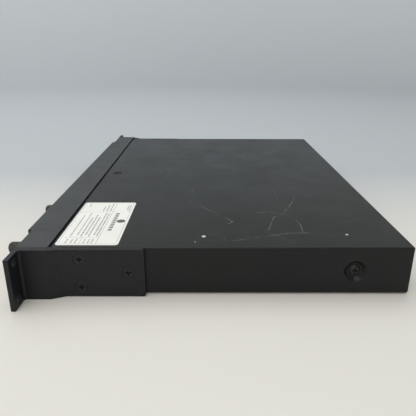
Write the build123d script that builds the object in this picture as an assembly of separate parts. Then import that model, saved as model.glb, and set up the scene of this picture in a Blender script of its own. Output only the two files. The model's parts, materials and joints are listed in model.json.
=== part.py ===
from build123d import *
import math
import os

# A rack-mount firewall appliance, one rack unit high, built as it comes apart on a bench.
#
# Axes: +Z up, +Y from the front bezel to the rear panel, +X across the width.
# "left" is -X and "right" is +X, as seen by a person facing the front bezel.
# The dimensions below count Y from the front face of the rack ears. On export the whole
# assembly moves along Y, so that its origin is the centre of its box's base.
# Every length is in millimetres.

# ---------------------------------------------------------------- driving dimensions
RACK_WIDTH = 482.6
EAR_HEIGHT = 43.6
RACK_HOLE_SPAN = 465.1
RACK_HOLE_RISE = 31.75
RACK_HOLE_RADIUS = 3.5

CASE_WIDTH = 432.0
CASE_HEIGHT = 42.6
PANEL_REAR = 314.9
SHEET = 1.0
FIT_GAP = 0.1

BEZEL_WIDTH = 435.0
BEZEL_FRONT = -3.4
BEZEL_REAR = 25.0
BEZEL_WALL = 2.2
BEZEL_TOP_WALL = 1.5
CENTRE_HALF = 182.4
CAP_GAP = 0.25
COVER_FRONT = 26.6

PANEL_FRONT = 2.4
PANEL_SHEET = 1.2
BOARD_UNDERSIDE = 6.0
BOARD_SHEET = 1.6

EAR_REACH = 100.9
EAR_OUTER_FRONT = 223.6
EAR_OUTER_REAR = 219.4
EAR_FLANGE = 3.8
EAR_SCREWS = ((49.4, 33.6), (49.4, 8.9), (87.8, 21.9))

SIDE_SCREW_Y = 270.5
SIDE_SCREW_Z = 21.5
SIDE_DIMPLE_RADIUS = 9.3
SIDE_DIMPLE_DEPTH = 3.0
SIDE_SCREW_HEAD = 4.8
TOP_SCREW_Y = 39.6
TOP_DIMPLE_RADIUS = 5.6
TOP_DIMPLE_DEPTH = 1.4
LIP_SCREW_COLUMNS = (-209.6, 44.0, 207.5)
LIP_SCREW_Z = 37.8
LIP_LOW = 40.4
TAB_LOW = 33.6
TAB_HALF = 5.2
COVER_SCREW_HEAD = 3.3
COVER_SCREW_RISE = 1.2

LABEL_WIDTH = 101.6
LABEL_DEPTH = 50.8
LABEL_CENTRE = (161.0, 53.8)
LABEL_THICKNESS = 0.15

DISPLAY_X = (-168.0, -102.0)
DISPLAY_Z = (13.0, 33.0)
KEY_COLUMNS = (-88.0, -74.0)
KEY_ROWS = (16.5, 29.5)
KEY_SIZE = (8.6, 7.0)
LAMP_X = -57.5
LAMP_ROWS = (12.0, 18.5, 25.0, 31.5)
PORT_WINDOW_X = (-48.5, 69.5)
PORT_WINDOW_Z = (4.6, 38.2)

JACK_SIZE = (15.9, 21.0, 13.2)
JACK_PITCH = 16.2
JACK_COLUMNS = tuple(10.0 + JACK_PITCH * n for n in range(4))
SERVICE_JACK_X = -11.0
JACK_ROWS = (14.2, 27.7)
JACK_FRONT = -1.5
USB_X = -31.6
USB_ROWS = (12.2, 24.0)
RESET_X = -43.8
RESET_Z = 32.0

MODULE_CENTRE = 126.75
MODULE_WIDTH = 107.0
MODULE_Z = (3.3, 40.1)
MODULE_PLATE = 1.6
CARRIER_WIDTH = 82.5
CARRIER_FLOOR = 5.0
MODULE_BOARD_Z = 10.0
MODULE_REAR = 106.0
CAGE_PITCH = 18.0
CAGE_SIZE = (15.2, 48.0, 10.4)
THUMB_OFFSET = 48.2
THUMB_Z = 23.0
THUMB_TIP = -25.2
THUMB_SKIRT = -9.7
THUMB_FLOOR = -18.9
THUMB_RADIUS = 5.4
THUMB_BORE = 4.5
THUMB_SHANK = 1.7
THUMB_SHANK_TIP = 1.3
THUMB_TRAVEL = 5.0
FERRULE_FRONT = -11.4
FERRULE_RADIUS = 4.1
FERRULE_BORE = 2.1
CLIP_RADIUS = 3.0
CLIP_SHEET = 0.8

SUPPLY_X = (-206.0, -106.0)
SUPPLY_Y = (142.0, 312.9)
SUPPLY_Z = (1.1, 41.3)
SUPPLY_SHEET = 0.8
INLET_X = -187.0
ROCKER_X = -162.0
SUPPLY_FAN_X = -131.5
SERVICE_Z = 21.2
ROCKER_TILT = 7.0
ROCKER_AXLE = 1.2
FAN_COLUMNS = (-82.0, -38.0, 6.0)
FAN_Z = 21.05
FAN_SIZE = 40.0
SUPPLY_FAN_SIZE = 38.0
FAN_DEPTH = 20.0
VENT_X = (52.0, 200.0)
GROUND_SCREW = (207.0, 9.0)
HARNESS_RADIUS = 2.5
PROCESSOR_X = (-28.0, 24.0)
PROCESSOR_Y = (176.0, 228.0)

# ---------------------------------------------------------------- derived dimensions
CASE_HALF = CASE_WIDTH / 2
COVER_INNER = CASE_HALF - SHEET
TRAY_HALF = COVER_INNER - FIT_GAP
TRAY_TOP = CASE_HEIGHT - SHEET - 0.7
COVER_UNDER = CASE_HEIGHT - SHEET
PANEL_INNER = PANEL_REAR - SHEET
BOARD_TOP = BOARD_UNDERSIDE + BOARD_SHEET
HEAT_SINK_Z = BOARD_TOP + 5
HEADER_TOP = BOARD_TOP + 12
TRAY_INNER = TRAY_HALF - SHEET
FLANGE_TOP = COVER_UNDER - TOP_DIMPLE_DEPTH
BEZEL_BACK = BEZEL_FRONT + BEZEL_WALL
PANEL_BACK = PANEL_FRONT + PANEL_SHEET
CAGE_Z = MODULE_BOARD_Z + BOARD_SHEET
PLATE_BACK = BEZEL_FRONT + MODULE_PLATE
LIP_FACE = PANEL_REAR + FIT_GAP + SHEET
REARMOST = LIP_FACE + COVER_SCREW_RISE
ORIGIN_Y = (THUMB_TIP + REARMOST) / 2
END_SLOTS = range(186, 210, 6)


# ---------------------------------------------------------------- small helpers
def block(x0, x1, y0, y1, z0, z1):
    """A box between two corners."""
    middle = Pos((x0 + x1) / 2, (y0 + y1) / 2, (z0 + z1) / 2)
    return middle * Box(abs(x1 - x0), abs(y1 - y0), abs(z1 - z0))


def rod_y(x, z, radius, y0, y1):
    """A cylinder that runs along Y."""
    return Pos(x, (y0 + y1) / 2, z) * Rot(90, 0, 0) * Cylinder(radius, abs(y1 - y0))


def rod_x(y, z, radius, x0, x1):
    """A cylinder that runs along X."""
    return Pos((x0 + x1) / 2, y, z) * Rot(0, 90, 0) * Cylinder(radius, abs(x1 - x0))


def rod_z(x, y, radius, z0, z1):
    """A cylinder that runs along Z."""
    return Pos(x, y, (z0 + z1) / 2) * Cylinder(radius, z1 - z0)


def turned(points):
    """A solid of revolution about Z, from (radius, height) points."""
    return revolve(Plane.XZ * make_face(Polyline(*[(r, z) for r, z in points], close=True)), Axis.Z)


def faces_right(shape, side):
    """The shape as made for the +X side, or its mirror image for the -X side."""
    return shape if side > 0 else mirror(shape, about=Plane.YZ)


def cut_all(shape, tools):
    """The shape less every tool, in one operation."""
    return shape - list(tools)


def group(pieces):
    """Several separate solids as one node."""
    return Compound([solid for piece in pieces for solid in piece.solids()])


def cross_recess(width, depth):
    """A cross-head driver recess that opens upwards at Z = 0."""
    arm = Pos(0, 0, -depth / 2) * Box(width, width * 0.24, depth)
    return arm + Rot(0, 0, 90) * arm


def flat_screw(head, shank, length):
    """A countersunk screw along Z: its flat face at Z = 0, its shank pointing down."""
    rise = head - shank
    body = turned([(0, 0), (head, 0), (shank, -rise), (shank, -length), (0, -length)])
    return body - cross_recess(head * 1.05, rise * 0.75)


def pan_screw(head, rise, shank, length):
    """A low domed screw along Z: its seat at Z = 0, its shank pointing down."""
    body = turned([(0, rise), (head * 0.72, rise * 0.86), (head, rise * 0.3), (head, 0), (shank, 0),
                   (shank, -length), (0, -length)])
    return body - Pos(0, 0, rise) * cross_recess(head * 1.0, rise * 0.8)


def dimple_wall(radius, floor, depth, skin):
    """A drawn dimple's wall below Z = 0, from the sheet's outer face down to its flat floor."""
    return turned([(0, -depth), (floor, -depth), (radius, 0), (radius, -skin), (floor, -depth - skin),
                   (0, -depth - skin)])


def dimple_space(radius, floor, depth, skin):
    """What a dimple takes out of the flat sheet that it is drawn from."""
    return turned([(0, 0), (radius, 0), (radius, -skin), (0, -skin)])


def to_side(y, z, x, side):
    """Turns a shape made along +Z to point out of the case's side at x."""
    return Pos(side * x, y, z) * Rot(0, side * 90, 0)


def to_rear(x, z, y):
    """Turns a shape made along +Z to point out of the rear."""
    return Pos(x, y, z) * Rot(-90, 0, 0)


# ---------------------------------------------------------------- casing
def side_dimple(side, outer_x, radius):
    """A cover or tray side's dimple as (what it removes, what it adds), with its screw hole."""
    floor = radius - SIDE_DIMPLE_DEPTH
    place = to_side(SIDE_SCREW_Y, SIDE_SCREW_Z, outer_x, side)
    wall = dimple_wall(radius, floor, SIDE_DIMPLE_DEPTH, SHEET)
    hole = Pos(0, 0, -SIDE_DIMPLE_DEPTH) * Cylinder(2.2, 4 * SHEET)
    return place * dimple_space(radius, floor, SIDE_DIMPLE_DEPTH, SHEET), place * (wall - hole)


def base_tray():
    """The folded steel tray: a floor and two full-height sides, open at both ends, with clinch nuts."""
    floor = block(-TRAY_HALF, TRAY_HALF, PANEL_FRONT + 0.2, PANEL_INNER - FIT_GAP, 0, TRAY_TOP)
    floor = fillet(floor.edges().filter_by(Axis.Y).group_by(Axis.Z)[0], 0.9)
    hollow = block(-TRAY_INNER, TRAY_INNER, 0, PANEL_REAR + 9, SHEET, CASE_HEIGHT)
    tongue = block(-CENTRE_HALF + 0.4, CENTRE_HALF - 0.4, BEZEL_BACK + FIT_GAP, PANEL_FRONT + 1, 0, SHEET)
    tray = floor - hollow + tongue
    nuts = [rod_x(y, z, 4.2, side * (TRAY_INNER - 3.4), side * (TRAY_INNER + 0.2))
            for y, z in EAR_SCREWS for side in (-1, 1)]
    holes = [rod_z(x, y, 2.1, -1, 2) for x, y in board_posts()]
    holes += [rod_x(y, z, 2.6, side * (TRAY_INNER - 4), side * (TRAY_HALF + 1))
              for y, z in EAR_SCREWS for side in (-1, 1)]
    tray = cut_all(tray + nuts, holes)
    for side in (-1, 1):
        space, wall = side_dimple(side, TRAY_HALF, SIDE_DIMPLE_RADIUS + 0.1)
        tray = tray - space + wall
    return tray


def top_cover():
    """The lid: a flat top, two full-height skirts outside the tray, and a rear lip with three tabs."""
    rear = LIP_FACE
    outer = block(-CASE_HALF, CASE_HALF, COVER_FRONT, rear, 0.4, CASE_HEIGHT)
    outer = fillet(outer.edges().filter_by(Axis.Y).group_by(Axis.Z)[-1], 1.1)
    outer = fillet(outer.edges().filter_by(Axis.X).group_by(Axis.Z)[-1].group_by(Axis.Y)[-1], 0.7)
    outer = fillet(outer.edges().filter_by(Axis.X).group_by(Axis.Z)[0].group_by(Axis.Y)[-1], 3.0)
    hollow = block(-COVER_INNER, COVER_INNER, 0, rear - SHEET, -1, COVER_UNDER)
    under_lip = block(-COVER_INNER - 0.01, COVER_INNER + 0.01, rear - 9, rear + 9, -1, LIP_LOW)
    under_lip -= [block(x - TAB_HALF, x + TAB_HALF, rear - 9, rear + 9, TAB_LOW, LIP_LOW + 1)
                  for x in LIP_SCREW_COLUMNS]
    cover = cut_all(outer, [hollow, under_lip])
    holes = [rod_x(y, z, 2.7, side * (COVER_INNER - 1), side * (CASE_HALF + 1))
             for y, z in EAR_SCREWS for side in (-1, 1)]
    holes += [rod_y(x, LIP_SCREW_Z, 1.8, rear - 3, rear + 3) for x in LIP_SCREW_COLUMNS]
    cover = cut_all(cover, holes)
    for side in (-1, 1):
        space, wall = side_dimple(side, CASE_HALF, SIDE_DIMPLE_RADIUS)
        cover = cover - space + wall
    place = Pos(0, TOP_SCREW_Y, CASE_HEIGHT)
    floor = TOP_DIMPLE_RADIUS - TOP_DIMPLE_DEPTH
    wall = dimple_wall(TOP_DIMPLE_RADIUS, floor, TOP_DIMPLE_DEPTH, SHEET)
    wall -= Cylinder(1.8, 9)
    cover = cover - place * dimple_space(TOP_DIMPLE_RADIUS, floor, TOP_DIMPLE_DEPTH, SHEET)
    return cover + place * wall


def ring_guard(x, z, y0, y1, bars=2.0):
    """The slots of a stamped fan guard: three rings of air slots, crossed by two bars."""
    rings = [(16.2, 18.2), (11.8, 14.4), (7.4, 10.0), (3.4, 5.6)]
    slots = Sketch() + [Circle(b) - Circle(a) for a, b in rings]
    slots -= Rot(0, 0, 45) * Rectangle(60, bars) + Rot(0, 0, -45) * Rectangle(60, bars)
    return to_rear(x, z, y0) * extrude(slots, y1 - y0)


def rear_panel():
    """The rear wall, with the supply's window, three fan guards and an air vent."""
    plate = block(-TRAY_INNER + 0.2, TRAY_INNER - 0.2, PANEL_INNER, PANEL_REAR, SHEET + 0.05, TRAY_TOP)
    foot = block(40, 208, PANEL_INNER - 10, PANEL_INNER + 0.5, SHEET + 0.05, 2 * SHEET + 0.05)
    window = block(SUPPLY_X[0] + 2.5, SUPPLY_X[1] - 2.5, PANEL_INNER - 1, PANEL_REAR + 1, 4.0, 38.2)
    tools = [window, rod_y(*GROUND_SCREW, 1.9, PANEL_INNER - 1, PANEL_REAR + 1)]
    for x in FAN_COLUMNS:
        tools.append(ring_guard(x, FAN_Z, PANEL_INNER - 1, PANEL_REAR + 1))
        tools += [rod_y(x + a, FAN_Z + b, 1.7, PANEL_INNER - 1, PANEL_REAR + 1)
                  for a in (-16, 16) for b in (-16, 16)]
    tools += [rod_y(x, LIP_SCREW_Z, 1.6, PANEL_INNER - 1, PANEL_REAR + 1) for x in LIP_SCREW_COLUMNS]
    pitch = 6.2
    columns = int((VENT_X[1] - VENT_X[0]) / pitch)
    cell = Sketch()
    cells = [Pos(VENT_X[0] + (c + 0.5 * (r % 2)) * pitch, 10.0 + r * pitch * 0.866) * RegularPolygon(2.7, 6)
             for c in range(columns) for r in range(5)]
    cell += cells
    vent = Pos(0, PANEL_REAR + 1, 0) * Rot(90, 0, 0) * extrude(cell, 4)
    return cut_all(plate + foot, tools + [vent])


def front_panel():
    """The steel wall behind the bezel: a ledge for the cover's edge, socket windows and pressed nuts."""
    inner = TRAY_INNER - 0.2
    plate = block(-inner, inner, PANEL_FRONT, PANEL_BACK, SHEET + 0.05, FLANGE_TOP)
    plate += block(-inner, inner, PANEL_FRONT, 47.0, FLANGE_TOP - SHEET, FLANGE_TOP)
    plate += block(-195, 66, PANEL_FRONT, 12.0, SHEET + 0.05, 2 * SHEET + 0.05)
    plate += [rod_y(x, THUMB_Z, 5.0, PANEL_FRONT + 0.5, 13.0) for x in thumb_columns()]
    half = JACK_SIZE[0] / 2 + 0.2
    low, high = JACK_ROWS[0] - JACK_SIZE[2] / 2 - 0.15, JACK_ROWS[1] + JACK_SIZE[2] / 2 + 0.2
    y0, y1 = PANEL_FRONT - 1, PANEL_BACK + 1
    tools = [block(JACK_COLUMNS[0] - half, JACK_COLUMNS[-1] + half, y0, y1, low, high),
             block(SERVICE_JACK_X - half, SERVICE_JACK_X + half, y0, y1, low, high),
             block(*module_span(CARRIER_WIDTH + 1.0), y0, y1, 4.4, 38.0),
             block(RESET_X - 2.1, RESET_X + 2.1, y0, y1, RESET_Z - 2.1, RESET_Z + 2.1),
             rod_z(0, TOP_SCREW_Y, 1.6, FLANGE_TOP - 3, FLANGE_TOP + 1)]
    tools += [block(USB_X - 7.5, USB_X + 7.5, y0, y1, z - 4.1, z + 4.1) for z in USB_ROWS]
    tools += [rod_y(x, THUMB_Z, CLIP_RADIUS + 0.6, y0, 6.2) for x in thumb_columns()]
    tools += [rod_y(x, THUMB_Z, THUMB_SHANK + 0.3, 5.0, 14.0) for x in thumb_columns()]
    tools += [block(side * x, side * (x + 3.0), y0, y1, 8.0, 36.0)
              for side in (-1, 1) for x in END_SLOTS]
    return cut_all(plate, tools)


def bezel_centre():
    """The middle of the moulded bezel: a front wall and a top wall that reaches back to the cover."""
    front = block(-CENTRE_HALF, CENTRE_HALF, BEZEL_FRONT, BEZEL_REAR, 0, EAR_HEIGHT)
    front = fillet(front.edges().filter_by(Axis.X).group_by(Axis.Y)[0], 0.9)
    under = EAR_HEIGHT - BEZEL_TOP_WALL
    hollow = block(-CENTRE_HALF - 1, CENTRE_HALF + 1, BEZEL_BACK, BEZEL_REAR + 1, -1, under)
    y0, y1 = BEZEL_FRONT - 1, BEZEL_BACK + 1
    bay = module_span(MODULE_WIDTH + 0.5)
    tools = [hollow,
             block(DISPLAY_X[0] - 0.1, DISPLAY_X[1] + 0.1, y0, y1, DISPLAY_Z[0] - 0.1, DISPLAY_Z[1] + 0.1),
             block(*PORT_WINDOW_X, y0, y1, *PORT_WINDOW_Z),
             block(*bay, y0, y1, MODULE_Z[0] - 0.3, MODULE_Z[1] + 0.3)]
    tools += [block(x - KEY_SIZE[0] / 2 - 0.3, x + KEY_SIZE[0] / 2 + 0.3, y0, y1,
                    z - KEY_SIZE[1] / 2 - 0.3, z + KEY_SIZE[1] / 2 + 0.3)
              for x in KEY_COLUMNS for z in KEY_ROWS]
    tools += [rod_y(LAMP_X, z, 1.35, y0, y1) for z in LAMP_ROWS]
    tools += [block(x, x + 2.4, y0, y1, z, z + 3.6)
              for x in range(-176, -60, 5) for z in (4.2, 36.6)]
    return cut_all(front, tools)


def bezel_end_cap(side):
    """The moulded cap at one end of the bezel, set back from its middle, with upright air slots."""
    inner, outer = CENTRE_HALF + CAP_GAP, BEZEL_WIDTH / 2
    cap = block(inner, outer, 0, BEZEL_REAR, 0, EAR_HEIGHT)
    cap = fillet(cap.edges().filter_by(Axis.X).group_by(Axis.Y)[0], 0.8)
    hollow = block(inner - 1, COVER_INNER + 0.1, BEZEL_WALL, BEZEL_REAR + 1, -1, EAR_HEIGHT - BEZEL_TOP_WALL)
    slots = [block(x, x + 3.0, -1, BEZEL_WALL + 1, 8.0, 36.0) for x in END_SLOTS]
    return faces_right(cut_all(cap, [hollow, *slots]), side)


def rack_ear(side):
    """A thick rack ear: a flange for the rack's rail, and an arm that steps in to lie on the case."""
    front_inner, rear_inner = BEZEL_WIDTH / 2 + 0.1, CASE_HALF
    step, ramp = 24.5, 36.5
    plan = Polyline((RACK_WIDTH / 2, 0), (RACK_WIDTH / 2, EAR_FLANGE), (EAR_OUTER_FRONT, EAR_FLANGE),
                    (EAR_OUTER_FRONT, step), (EAR_OUTER_REAR, ramp), (EAR_OUTER_REAR, EAR_REACH),
                    (rear_inner, EAR_REACH), (rear_inner, BEZEL_REAR + 1.0), (front_inner, BEZEL_REAR + 0.6),
                    (front_inner, 0), close=True)
    body = extrude(make_face(plan), EAR_HEIGHT)
    upright = body.edges().filter_by(Axis.Z)
    body = fillet(upright.filter_by_position(Axis.X, EAR_OUTER_FRONT - 0.1, EAR_OUTER_FRONT + 0.1), 2.2)
    upright = body.edges().filter_by(Axis.Z)
    bend = upright.filter_by_position(Axis.X, EAR_OUTER_REAR - 0.1, EAR_OUTER_REAR + 0.1)
    body = fillet(bend.filter_by_position(Axis.Y, ramp - 4, ramp + 4), 12.0)
    arm_low, arm_top = 0.6, 42.2
    profile = Polyline((-1, 0), (step, 0), (ramp, arm_low), (EAR_REACH + 1, arm_low),
                       (EAR_REACH + 1, arm_top), (ramp, arm_top), (step, EAR_HEIGHT), (-1, EAR_HEIGHT), close=True)
    side_view = extrude(Plane.YZ * make_face(profile), RACK_WIDTH)
    body = body & side_view
    ends = body.edges().filter_by(Axis.X).group_by(Axis.Y)[-1]
    body = fillet(ends, 1.5)
    tools = [rod_y(RACK_HOLE_SPAN / 2, EAR_HEIGHT / 2 + dz, RACK_HOLE_RADIUS, -1, EAR_FLANGE + 3)
             for dz in (-RACK_HOLE_RISE / 2, RACK_HOLE_RISE / 2)]
    sink = turned([(0, 1), (5.1, 1), (5.1, 0), (2.7, -2.4), (2.7, -9), (0, -9)])
    tools += [to_side(y, z, EAR_OUTER_REAR, 1) * sink for y, z in EAR_SCREWS]
    return faces_right(cut_all(body, tools), side)


def ear_screws():
    """The six flat-head screws that hold the ears."""
    screw = flat_screw(4.65, 2.4, 10.5)
    return group(to_side(y, z, EAR_OUTER_REAR - 0.35, side) * screw for y, z in EAR_SCREWS for side in (-1, 1))


def cover_side_screws():
    """One low-headed screw in each side dimple."""
    screw = pan_screw(SIDE_SCREW_HEAD, 1.9, 2.0, 6.5)
    seat = CASE_HALF - SIDE_DIMPLE_DEPTH
    return group(to_side(SIDE_SCREW_Y, SIDE_SCREW_Z, seat, side) * screw for side in (-1, 1))


def cover_screws():
    """Four alike: one in the dimple at the middle of the cover's front edge, three in its rear lip."""
    screw = pan_screw(COVER_SCREW_HEAD, COVER_SCREW_RISE, 1.5, 6.0)
    top = Pos(0, TOP_SCREW_Y, CASE_HEIGHT - TOP_DIMPLE_DEPTH) * screw
    return group([top] + [to_rear(x, LIP_SCREW_Z, LIP_FACE) * screw for x in LIP_SCREW_COLUMNS])


def product_label():
    """The paper label on the cover, with rounded corners."""
    x, y = LABEL_CENTRE
    outline = RectangleRounded(LABEL_WIDTH, LABEL_DEPTH, 2.8)
    return Pos(x, y, CASE_HEIGHT) * extrude(outline, LABEL_THICKNESS)


# ---------------------------------------------------------------- front controls and sockets
def display_window():
    """The clear lens over the display."""
    lens = block(*DISPLAY_X, BEZEL_FRONT + 0.2, BEZEL_BACK - 0.2, *DISPLAY_Z)
    return fillet(lens.edges().filter_by(Axis.Y), 1.0)


def display_module():
    """The character display: its board, its metal frame and its glass."""
    board = block(DISPLAY_X[0] - 5, DISPLAY_X[1] + 5, 1.0, PANEL_FRONT - 0.1, 9.0, 35.6)
    frame = block(DISPLAY_X[0] - 2, DISPLAY_X[1] + 2, BEZEL_BACK + 0.3, 1.0, 11.0, 35.0)
    return board + frame


def key(x, z):
    """One menu key, with the rim that keeps it behind the bezel."""
    width, height = KEY_SIZE
    cap = block(x - width / 2, x + width / 2, BEZEL_FRONT - 1.2, BEZEL_BACK + 0.5, z - height / 2, z + height / 2)
    cap = fillet(cap.edges().filter_by(Axis.Y), 1.6)
    cap = fillet(cap.edges().group_by(Axis.Y)[0], 0.5)
    rim = block(x - width / 2 - 1, x + width / 2 + 1, BEZEL_BACK + 0.1, BEZEL_BACK + 0.7,
                z - height / 2 - 1, z + height / 2 + 1)
    return cap + rim


def key_board():
    """The board behind the keys, with a tact switch under each one."""
    board = block(KEY_COLUMNS[0] - 7, KEY_COLUMNS[1] + 7, 1.4, PANEL_FRONT - 0.1, 9.5, 36.5)
    for x in KEY_COLUMNS:
        for z in KEY_ROWS:
            board += block(x - 2.2, x + 2.2, 0.6, 1.5, z - 2.2, z + 2.2)
    return board


def lamp_pipes():
    """Four clear light pipes for the status lamps."""
    return group(rod_y(LAMP_X, z, 1.25, BEZEL_FRONT - 0.3, PANEL_FRONT - 0.1) for z in LAMP_ROWS)


def jack(x, z, flip=1):
    """One modular network jack: a shell with a stepped socket for the plug and its latch."""
    width, depth, height = JACK_SIZE
    y0 = JACK_FRONT
    shell = block(x - width / 2, x + width / 2, y0, y0 + depth, z - height / 2, z + height / 2)
    main = block(x - 5.95, x + 5.95, y0 - 1, y0 + 13.5, z - 2.6 * flip, z + 5.6 * flip)
    latch = block(x - 3.2, x + 3.2, y0 - 1, y0 + 9.5, z - 5.4 * flip, z - 2.5 * flip)
    return shell - (main + latch)


def lan_jacks():
    """The eight network jacks, two rows of four, the upper row with its latches upwards."""
    return group(jack(x, z, flip) for x in JACK_COLUMNS for z, flip in zip(JACK_ROWS, (1, -1)))


def service_jacks():
    """The console jack above and the management jack below."""
    return group(jack(SERVICE_JACK_X, z, flip) for z, flip in zip(JACK_ROWS, (1, -1)))


def usb_sockets():
    """Two stacked type A sockets in one moulded stand, each a steel shell round a tongue."""
    low, high = USB_ROWS
    y0 = JACK_FRONT + 0.3
    body = block(USB_X - 6.5, USB_X + 6.5, 9.0, y0 + 14, BOARD_TOP, low)
    body += block(USB_X - 6.5, USB_X + 6.5, 5.0, y0 + 14, low + 3, high - 3)
    for z in USB_ROWS:
        body += block(USB_X - 7.2, USB_X + 7.2, y0, y0 + 14.7, z - 3.8, z + 3.8)
        body -= block(USB_X - 6.3, USB_X + 6.3, y0 - 1, y0 + 11.7, z - 2.6, z + 2.6)
        body += block(USB_X - 5.6, USB_X + 5.6, y0 + 1.2, y0 + 12, z - 0.1, z + 1.75)
    return body


def reset_button():
    """The recessed reset pin, with its stem in the switch behind it."""
    head = block(RESET_X - 1.8, RESET_X + 1.8, PANEL_FRONT + 0.3, 6.4, RESET_Z - 1.8, RESET_Z + 1.8)
    return head + rod_y(RESET_X, RESET_Z, 1.0, 6.0, 10.4)


def reset_switch():
    """The switch that the reset pin works, on its stalk above the main board."""
    body = block(RESET_X - 3, RESET_X + 3, 7.4, 13.0, RESET_Z - 3.5, RESET_Z + 3.5)
    body += block(RESET_X - 1.5, RESET_X + 1.5, 9.0, 13.0, BOARD_TOP, RESET_Z - 3.4)
    return body - rod_y(RESET_X, RESET_Z, 1.3, 7.0, 11.6)


# ---------------------------------------------------------------- expansion module
def module_span(width):
    """The left and right edges of something centred on the module."""
    return MODULE_CENTRE - width / 2, MODULE_CENTRE + width / 2


def thumb_columns():
    return MODULE_CENTRE - THUMB_OFFSET, MODULE_CENTRE + THUMB_OFFSET


def cage_columns():
    return tuple(MODULE_CENTRE + CAGE_PITCH * (n - 1.5) for n in range(4))


def module_faceplate():
    """The module's faceplate: four cage openings, air slots, and two pressed ferrules."""
    front, back = BEZEL_FRONT, PLATE_BACK
    plate = block(*module_span(MODULE_WIDTH), front, back, *MODULE_Z)
    plate = fillet(plate.edges().filter_by(Axis.Y), 0.6)
    plate += [rod_y(x, THUMB_Z, FERRULE_RADIUS, FERRULE_FRONT, back) for x in thumb_columns()]
    half = CAGE_SIZE[0] / 2 + 0.15
    tools = [block(x - half, x + half, front - 1, back + 1, CAGE_Z - 0.15, CAGE_Z + CAGE_SIZE[2] + 0.15)
             for x in cage_columns()]
    tools += [rod_y(x, THUMB_Z, FERRULE_BORE, FERRULE_FRONT - 1, back + 1) for x in thumb_columns()]
    tools += [block(MODULE_CENTRE + 4.5 * n - 1.1, MODULE_CENTRE + 4.5 * n + 1.1, front - 1, back + 1, 29.5, 36.5)
              for n in range(-7, 8)]
    return cut_all(plate, tools)


def module_carrier():
    """The folded tray that carries the module's board, with four pressed studs."""
    x0, x1 = module_span(CARRIER_WIDTH)
    y0 = PLATE_BACK
    tray = block(x0, x1, y0, MODULE_REAR, CARRIER_FLOOR, 20.0)
    tray -= block(x0 + SHEET, x1 - SHEET, y0 - 1, MODULE_REAR + 1, CARRIER_FLOOR + SHEET, 30.0)
    for x in (x0 + 6, x1 - 6):
        for y in (10.0, MODULE_REAR - 8):
            tray += rod_z(x, y, 2.5, CARRIER_FLOOR + 0.5, MODULE_BOARD_Z)
    return tray


def module_board():
    """The module's board, its port chip and the edge that plugs into the main board's socket."""
    x0, x1 = module_span(CARRIER_WIDTH - 2 * SHEET - 0.6)
    board = block(x0, x1, 0.5, MODULE_REAR, MODULE_BOARD_Z, CAGE_Z)
    board += block(MODULE_CENTRE - 21, MODULE_CENTRE + 21, MODULE_REAR - 1, MODULE_REAR + 15.5,
                   MODULE_BOARD_Z, CAGE_Z)
    board += block(MODULE_CENTRE - 13, MODULE_CENTRE + 13, 58, 84, CAGE_Z, CAGE_Z + 2.2)
    return board


def module_cages():
    """The four pressed steel cages for optical transceivers."""
    width, depth, height = CAGE_SIZE
    y0 = BEZEL_FRONT - 0.5
    wall = 0.6
    pieces = []
    for x in cage_columns():
        cage = block(x - width / 2, x + width / 2, y0, y0 + depth, CAGE_Z, CAGE_Z + height)
        cage -= block(x - width / 2 + wall, x + width / 2 - wall, y0 - 1, y0 + depth - 2,
                      CAGE_Z + wall, CAGE_Z + height - wall)
        pieces.append(cage)
    return group(pieces)


def knurled_bar(radius, depth, teeth, length):
    """A straight-knurled bar along Z, from Z = 0."""
    outline = []
    for n in range(2 * teeth):
        reach = radius - depth * (n % 2)
        turn = math.pi * n / teeth
        outline.append((reach * math.cos(turn), reach * math.sin(turn)))
    return extrude(make_face(Polyline(*outline, close=True)), length)


def thumbscrew(x):
    """A captive thumbscrew: a knurled knob with a rounded end and a skirt, and a grooved shank."""
    length = THUMB_SKIRT - THUMB_TIP
    corner = 3.2
    curve = [(THUMB_RADIUS - corner * (1 - math.cos(a)), length - corner * (1 - math.sin(a)))
             for a in (math.pi / 10 * n for n in range(6))]
    outline = turned([(0, 0), (THUMB_RADIUS - 0.5, 0), (THUMB_RADIUS, 0.6), *curve, (0, length)])
    knob = knurled_bar(THUMB_RADIUS, 0.3, 32, length) & outline
    knob -= Pos(0, 0, (THUMB_SKIRT - THUMB_FLOOR) / 2) * Cylinder(THUMB_BORE, THUMB_SKIRT - THUMB_FLOOR)
    knob -= Pos(0, 0, length) * Box(2 * THUMB_RADIUS, 1.2, 2.4)
    tip, floor = THUMB_SKIRT - THUMB_SHANK_TIP, THUMB_SKIRT - THUMB_FLOOR
    groove = THUMB_SKIRT - PLATE_BACK
    neck = THUMB_SHANK - 0.4
    shank = turned([(0, floor + 1), (THUMB_SHANK, floor + 1), (THUMB_SHANK, groove), (neck, groove),
                    (neck, groove - 1.2), (THUMB_SHANK, groove - 1.2), (THUMB_SHANK, tip + 0.6),
                    (THUMB_SHANK - 0.6, tip), (0, tip)])
    return Pos(x, THUMB_SKIRT, THUMB_Z) * Rot(90, 0, 0) * (knob + shank)


def thumb_clip(x):
    """The clip in the shank's groove that keeps the thumbscrew from leaving the faceplate."""
    y0 = PLATE_BACK + 0.2
    ring = rod_y(x, THUMB_Z, CLIP_RADIUS, y0, y0 + CLIP_SHEET)
    ring -= rod_y(x, THUMB_Z, THUMB_SHANK - 0.32, y0 - 1, y0 + 2)
    return ring - block(x - 1.0, x + 1.0, y0 - 1, y0 + 2, THUMB_Z - 4, THUMB_Z)


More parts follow.
